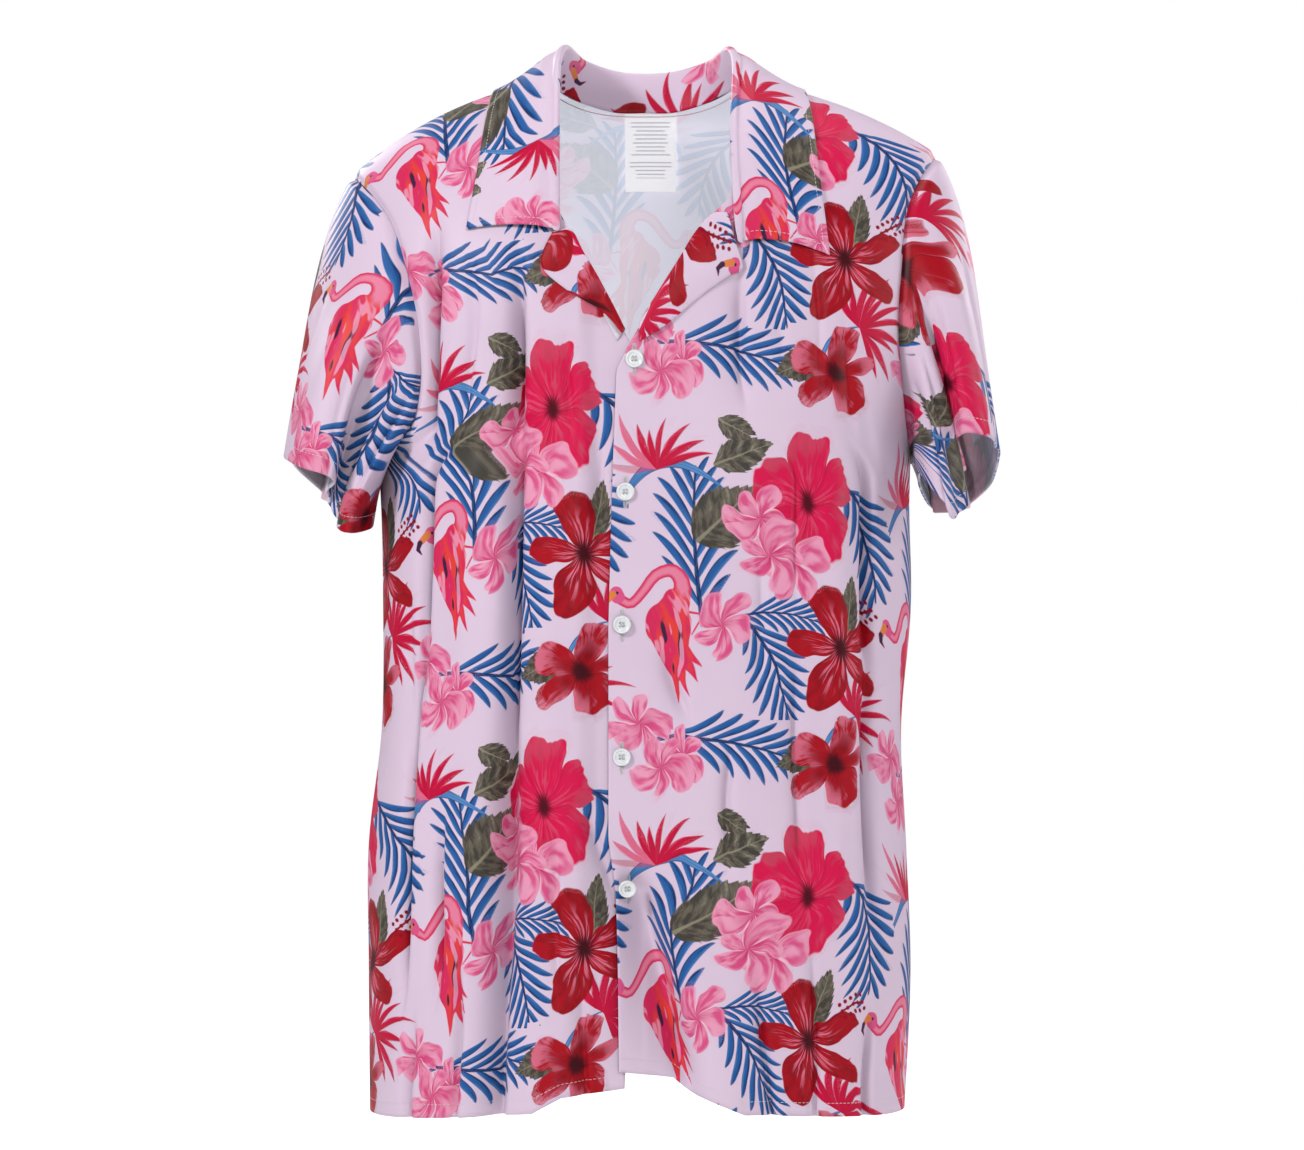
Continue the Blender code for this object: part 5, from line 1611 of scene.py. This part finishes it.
def button_object(node, material):
    """Turned button: a rounded back, a raised rim, a dished face and thread holes sunk into the dish.

    Its profile, in radii and half thicknesses, is turned round the button's axis.
    """
    centre, out = button_place(node)
    side = unit(np.cross([0, 0, 1.0], out))
    up = np.cross(out, side)
    profile = table(
        "r h", (0, -1.0), (0.55, -1.0), (0.86, -0.86), (0.97, -0.45), (1.0, 0.0), (0.985, 0.45),
        (0.94, 0.80), (0.88, 0.97), (0.81, 1.0), (0.74, 0.88), (0.68, 0.58), (0.62, 0.42),
        (0.50, 0.36), (0.25, 0.34), (0, 0.34),
    )
    run = np.concatenate([[0], np.cumsum(np.hypot(np.diff(profile["r"]), np.diff(profile["h"]) * 0.2))])
    at = np.linspace(0, run[-1], 56)
    r, h = (np.interp(at, run, profile[name])[:, None] for name in "rh")
    turn = np.linspace(0, 2 * np.pi, 49)
    x, y = r * np.cos(turn), r * np.sin(turn)
    h = h + 0 * x
    hole_place, hole_radius, hole_ease, hole_depth = 0.24, 0.09, 0.07, 1.1
    for spot in np.pi / 4 + np.arange(sizes().button_holes) * 2 * np.pi / sizes().button_holes:
        gap = np.hypot(x - hole_place * np.cos(spot), y - hole_place * np.sin(spot))
        h = h - np.where(h > 0, hole_depth, 0) * (1 - ease((gap - hole_radius) / hole_ease))
    flat = BUTTON_RADIUS * (x[..., None] * side + y[..., None] * up)
    points = centre + flat + out * (h * BUTTON_THICK / 2)[..., None]
    index = np.arange(h.size).reshape(h.shape)
    obj = new_object(node + "_turned", points.reshape(-1, 3), grid_faces(index), material)
    weld_poles(obj)
    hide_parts(node)
    return centre, out, side, up


def buttonhole_line(centre):
    """Narrow upright loop round a button's middle, on the cloth of the top front."""
    turn = np.linspace(0, 2 * np.pi, 73)
    long_half, wide_half = 0.0105, 0.0009
    x = centre[0] + wide_half * np.sign(np.cos(turn)) * np.abs(np.cos(turn)) ** 0.35
    z = centre[2] - 0.0005 + long_half * np.sin(turn)
    normal = outward_at(front_place, x, z)
    return front_place(x, z) + normal * 0.0001, normal


# ---- The pieces, one operator to each group ----

CLOTH = {}  # the printed material, and the grid and normals of each piece that later operators need


def finish_cloth(piece):
    """Hides the imported solid that a piece of cloth takes the place of."""
    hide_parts(piece)


def hem_wall(run_from_hem):
    """Wall of each point: the cloth's own, and what the turned-up hem adds below its stitches."""
    size = sizes()
    return size.wall + size.hem_wall * (1 - ease((run_from_hem - size.hem_depth - 0.001) / HEM_EASE))


def add_folded(piece, grid, run, wall):
    """Adds a piece of cloth that is folded over, and returns its normals, which face out at its free edge."""
    normals = normals_of(grid)
    normals = normals * np.sign(np.sum(normals[-1] * away_from_body(grid[-1])))
    walls = np.full(grid.shape[:2], wall)
    obj = cloth_object(piece, grid, normals, run, walls, CLOTH["material"])
    finish_cloth(piece)
    return normals


class SHIRT_OT_body(bpy.types.Operator):
    """Add the back and the two fronts"""

    bl_idname = "shirt.body"
    bl_label = "Back and Fronts"
    bl_options = {"REGISTER", "UNDO"}

    def execute(self, context):
        CLOTH["material"] = printed_cloth()
        panels = {
            "back": (back_grid(), "middle", ("first", "last", "top"), (0.52, 0.76)),
            "front_left": (front_left_grid(), "edge", ("last", "top"), (0.29, 0.76)),
            "front_right": (front_right_grid(), "edge", ("last", "top"), (0.27, 0.76)),
        }
        for piece, (grid, across, seams, flat) in panels.items():
            normals = outward_normals(grid, False, away_from_body)
            CLOTH[piece] = grid, normals
            run = body_run(grid, across)
            if piece == "back":
                run[..., 0] *= -1
            wall = hem_wall(run_along(grid, 0))
            dipped = pulled_in_at_seams(grid, normals, seams)
            obj = cloth_object(piece, dipped, normals, run, wall, CLOTH["material"])
            finish_cloth(piece)
        return {"FINISHED"}


class SHIRT_OT_sleeves(bpy.types.Operator):
    """Add the two short sleeves"""

    bl_idname = "shirt.sleeves"
    bl_label = "Sleeves"
    bl_options = {"REGISTER", "UNDO"}

    def execute(self, context):
        for name, side, cuff in (("left", 1, CUFF_LEFT), ("right", -1, CUFF_RIGHT)):
            piece, front, back = "sleeve_" + name, CLOTH["front_" + name], CLOTH["back"]
            grid = sleeve_grid(front[0], back[0], side, cuff)
            normals = sleeve_normals(grid, side)
            CLOTH[piece] = grid, normals
            down = run_along(grid, 0)
            under = unit(round_armhole(side, grid.shape[1] - 1, front, back))
            dip = SLEEVE_HEAD_DIP * sizes().seam_dip * np.exp(-((down / ARMHOLE_REACH) ** 2))
            dipped = grid - under * dip[..., None]
            wall, run = hem_wall(down[-1:] - down), sleeve_run(grid, side)
            obj = cloth_object(piece, dipped, normals, run, wall, CLOTH["material"], closed=True)
            finish_cloth(piece)
        return {"FINISHED"}


class SHIRT_OT_collar(bpy.types.Operator):
    """Add the collar and the two lapels"""

    bl_idname = "shirt.collar"
    bl_label = "Collar and Lapels"
    bl_options = {"REGISTER", "UNDO"}

    def execute(self, context):
        grid = collar_grid()
        normals = add_folded("collar", grid, collar_run(grid), COLLAR_WALL)
        CLOTH["collar"] = grid, normals
        for name, side, lapel in (("left", 1, LAPEL_LEFT), ("right", -1, LAPEL_RIGHT)):
            grid = lapel_grid(lapel)
            add_folded("lapel_" + name, grid, lapel_run(grid, side), LAPEL_WALL)
        return {"FINISHED"}


class SHIRT_OT_label(bpy.types.Operator):
    """Add the label inside the back neck"""

    bl_idname = "shirt.label"
    bl_label = "Label"
    bl_options = {"REGISTER", "UNDO"}

    def execute(self, context):
        down, across = np.meshgrid(np.linspace(0, 1, 50), np.linspace(-0.5, 0.5, 34), indexing="ij")
        x, z = LABEL_X + across * LABEL_WIDTH, LABEL_TOP_Z - down * LABEL_LENGTH
        normal = outward_at(back_place, x, z)
        curl = 0.0021 + 0.0012 * down**2 + 0.0010 * down * np.abs(across * 2) ** 3
        grid = back_place(x, z) - normal * curl[..., None]
        wall = np.full(grid.shape[:2], LABEL_WALL)
        obj, cells, inside = double_wall("label_satin", grid, -normal, wall, label_material())
        run = np.stack([across * LABEL_WIDTH, down * LABEL_LENGTH, 0 * down], -1)
        aside_on_back = inside[:, None, None] * [1.0, 0.0, 0.0]
        add_layer(obj.data, "label", widened(run, False)[cells] + aside_on_back)
        finish_cloth("label")
        return {"FINISHED"}


class SHIRT_OT_buttons(bpy.types.Operator):
    """Add the buttons, the thread that holds them and the buttonholes"""

    bl_idname = "shirt.buttons"
    bl_label = "Buttons"
    bl_options = {"REGISTER", "UNDO"}

    def execute(self, context):
        plastic = button_material()
        thread = thread_material("button thread", "thread")
        bars, holes = [], []
        for number in range(1, 6):
            centre, out, side, up = button_object(f"button_{number}", plastic)
            for aside in (-0.00102, 0.00102):
                middle = centre + side * aside + out * 0.0007
                line = middle + up * np.linspace(-0.0012, 0.0012, 5)[:, None]
                bars.append((line, np.repeat(out[None], 5, axis=0)))
            holes.append(buttonhole_line(centre))
        beads("button_thread", "buttons", bars, thread, (0.0026, 0.0007), 0.0024, sides=8)
        beads("buttonholes", "front_left", holes, thread, (0.0016, 0.0005), 0.00062, slant=9.0)
        return {"FINISHED"}


class SHIRT_OT_stitching(bpy.types.Operator):
    """Add the hem, cuff and collar stitches and the thread over the back neck seam"""

    bl_idname = "shirt.stitching"
    bl_label = "Stitching"
    bl_options = {"REGISTER", "UNDO"}

    def execute(self, context):
        size = sizes()
        white = thread_material("sewing thread", "thread")
        stitches = white, (size.stitch_length, size.thread), size.stitch_pitch
        for piece in ("back", "front_left", "front_right", "sleeve_left", "sleeve_right"):
            grid, normals = CLOTH[piece]
            name, depth = "hem_stitches_" + piece, size.hem_depth
            if piece.startswith("sleeve"):
                name, depth = piece.replace("sleeve", "cuff_stitches"), 1.15 * size.hem_depth
                grid, normals = grid[::-1], normals[::-1]
            run = run_along(grid, 0)
            line = at_run(grid, run, depth), at_run(normals, run, size.hem_depth)
            beads(name, piece, [line], *stitches)
        beads("collar_stitches", "collar", self.collar_lines(), *stitches)
        self.serging()
        return {"FINISHED"}

    def collar_lines(self):
        """The topstitching's lines: along the leaf's edge and up its two ends."""
        size = sizes()
        grid, normals = CLOTH["collar"]
        run = run_along(grid[::-1], 0)
        inset = round(size.topstitch / size.fine_step)
        edge = [at_run(values[::-1], run, size.topstitch)[inset:-inset] for values in (grid, normals)]
        leaf = slice(round(COLLAR_STAND / size.fine_step) + ROLL_ROWS, -inset)
        ends = [(grid[leaf, column], normals[leaf, column]) for column in (inset, -1 - inset)]
        return [edge, *ends]

    def serging(self):
        """Dark thread looped over the seam allowance along the inside of the back neck."""
        x = np.linspace(-0.064, 0.064, 160)
        z = back_top_z(x) - 0.0026
        normal = outward_at(back_place, x, z)
        line = back_place(x, z) - normal * SERGING_LIE, -normal
        dark = thread_material("serging thread", "serging")
        beads("neck_serging", "back", [line], dark, (0.0019, 0.0006), 0.0017, slant=0.6)


class SHIRT_OT_stage(bpy.types.Operator):
    """Add the floor, the soft lights and the camera"""

    bl_idname = "shirt.stage"
    bl_label = "Stage"
    bl_options = {"REGISTER", "UNDO"}

    FLOOR_Z, FLOOR_RADIUS = -1.05, 14.0
    CAMERA, LENS = (0.005, -2.6, -0.335), 104.0
    AIM = (0, 0, -0.34)  # what every light points at
    SURROUNDINGS = 0.18  # how strongly the white surroundings light the shirt
    BOUNCES = 1  # of light from fold to fold

    def execute(self, context):
        scene = context.scene
        self.floor(scene)
        camera = bpy.data.cameras.new("camera")
        camera.lens, camera.sensor_width, camera.clip_end = self.LENS, 36.0, 100.0
        scene.camera = self.placed(scene, camera, self.CAMERA, (np.pi / 2, 0, 0))
        self.world(scene)
        lights = table(
            "x     y     z     size  watts",
            (-2.0, -2.0, 1.1, 0.5, 45.0), (0.6, -2.9, 0.6, 0.8, 22.0), (2.4, -0.25, 0.3, 1.2, 17.0),
            (0.2, 0.3, 2.2, 1.4, 22.0), (-1.6, 2.3, 1.1, 1.0, 30.0), (1.8, 2.2, 0.8, 1.4, 16.0),
        )
        for number, light in enumerate(rows_of(lights)):
            lamp = bpy.data.lights.new(f"softbox_{number + 1}", "AREA")
            lamp.energy, lamp.size = light["watts"], light["size"]
            at = Vector((light["x"], light["y"], light["z"]))
            turned = (Vector(self.AIM) - at).to_track_quat("-Z", "Y").to_euler()
            self.placed(scene, lamp, at, turned)
        scene.view_settings.view_transform = "Standard"
        scene.cycles.diffuse_bounces, scene.cycles.max_bounces = self.BOUNCES, 2 * self.BOUNCES
        return {"FINISHED"}

    def placed(self, scene, data, location=(0, 0, 0), turned=(0, 0, 0)):
        """An object of the stage, named as its data is, in its place."""
        obj = bpy.data.objects.new(data.name, data)
        obj.location, obj.rotation_euler = location, turned
        scene.collection.objects.link(obj)
        return obj

    def floor(self, scene):
        """A disc whose rings lie closer together towards its middle."""
        turn = np.linspace(0, 2 * np.pi, 65)
        radius = np.linspace(0, 1, 12)[:, None] ** 1.5 * self.FLOOR_RADIUS
        x, y = radius * np.cos(turn), radius * np.sin(turn)
        points = np.stack([x, y, self.FLOOR_Z + 0 * x], -1)
        faces = grid_faces(np.arange(x.size).reshape(x.shape))[:, ::-1]
        mesh = bpy.data.meshes.new("floor")
        mesh.from_pydata(points.reshape(-1, 3).tolist(), [], faces.tolist())
        mesh.materials.append(floor_material())
        self.placed(scene, mesh)

    def world(self, scene):
        """Even pale surroundings: softer as light than they look behind the shirt."""
        world = bpy.data.worlds.new("studio")
        world.use_nodes = True
        strength = camera_sees(world.node_tree) * (1 - self.SURROUNDINGS) + self.SURROUNDINGS
        fill(world.node_tree.nodes["Background"], {"Color": (1, 1, 1), "Strength": strength})
        scene.world = world


STEPS = (
    SHIRT_OT_body,
    SHIRT_OT_sleeves,
    SHIRT_OT_collar,
    SHIRT_OT_label,
    SHIRT_OT_buttons,
    SHIRT_OT_stitching,
    SHIRT_OT_stage,
)


class SHIRT_PT_panel(bpy.types.Panel):
    """Lists the shirt's sizes, colours and steps"""

    bl_label = "Hawaiian Shirt"
    bl_idname = "SHIRT_PT_panel"
    bl_space_type = "VIEW_3D"
    bl_region_type = "UI"
    bl_category = "Shirt"

    def draw(self, context):
        for group in (context.scene.shirt_sizes, context.scene.shirt_colours):
            box = self.layout.box()
            for name in group.__annotations__:
                box.prop(group, name)
        for step in STEPS:
            self.layout.operator(step.bl_idname)


CLASSES = (ShirtSizes, ShirtColours, *STEPS, SHIRT_PT_panel)


def register():
    for one in CLASSES:
        bpy.utils.register_class(one)
    bpy.types.Scene.shirt_sizes = PointerProperty(type=ShirtSizes)
    bpy.types.Scene.shirt_colours = PointerProperty(type=ShirtColours)


def unregister():
    del bpy.types.Scene.shirt_colours
    del bpy.types.Scene.shirt_sizes
    for one in reversed(CLASSES):
        bpy.utils.unregister_class(one)


def main():
    register()
    for step in STEPS:
        group, name = step.bl_idname.split(".")
        getattr(getattr(bpy.ops, group), name)()
    bpy.context.view_layer.update()


if __name__ == "__main__":
    main()
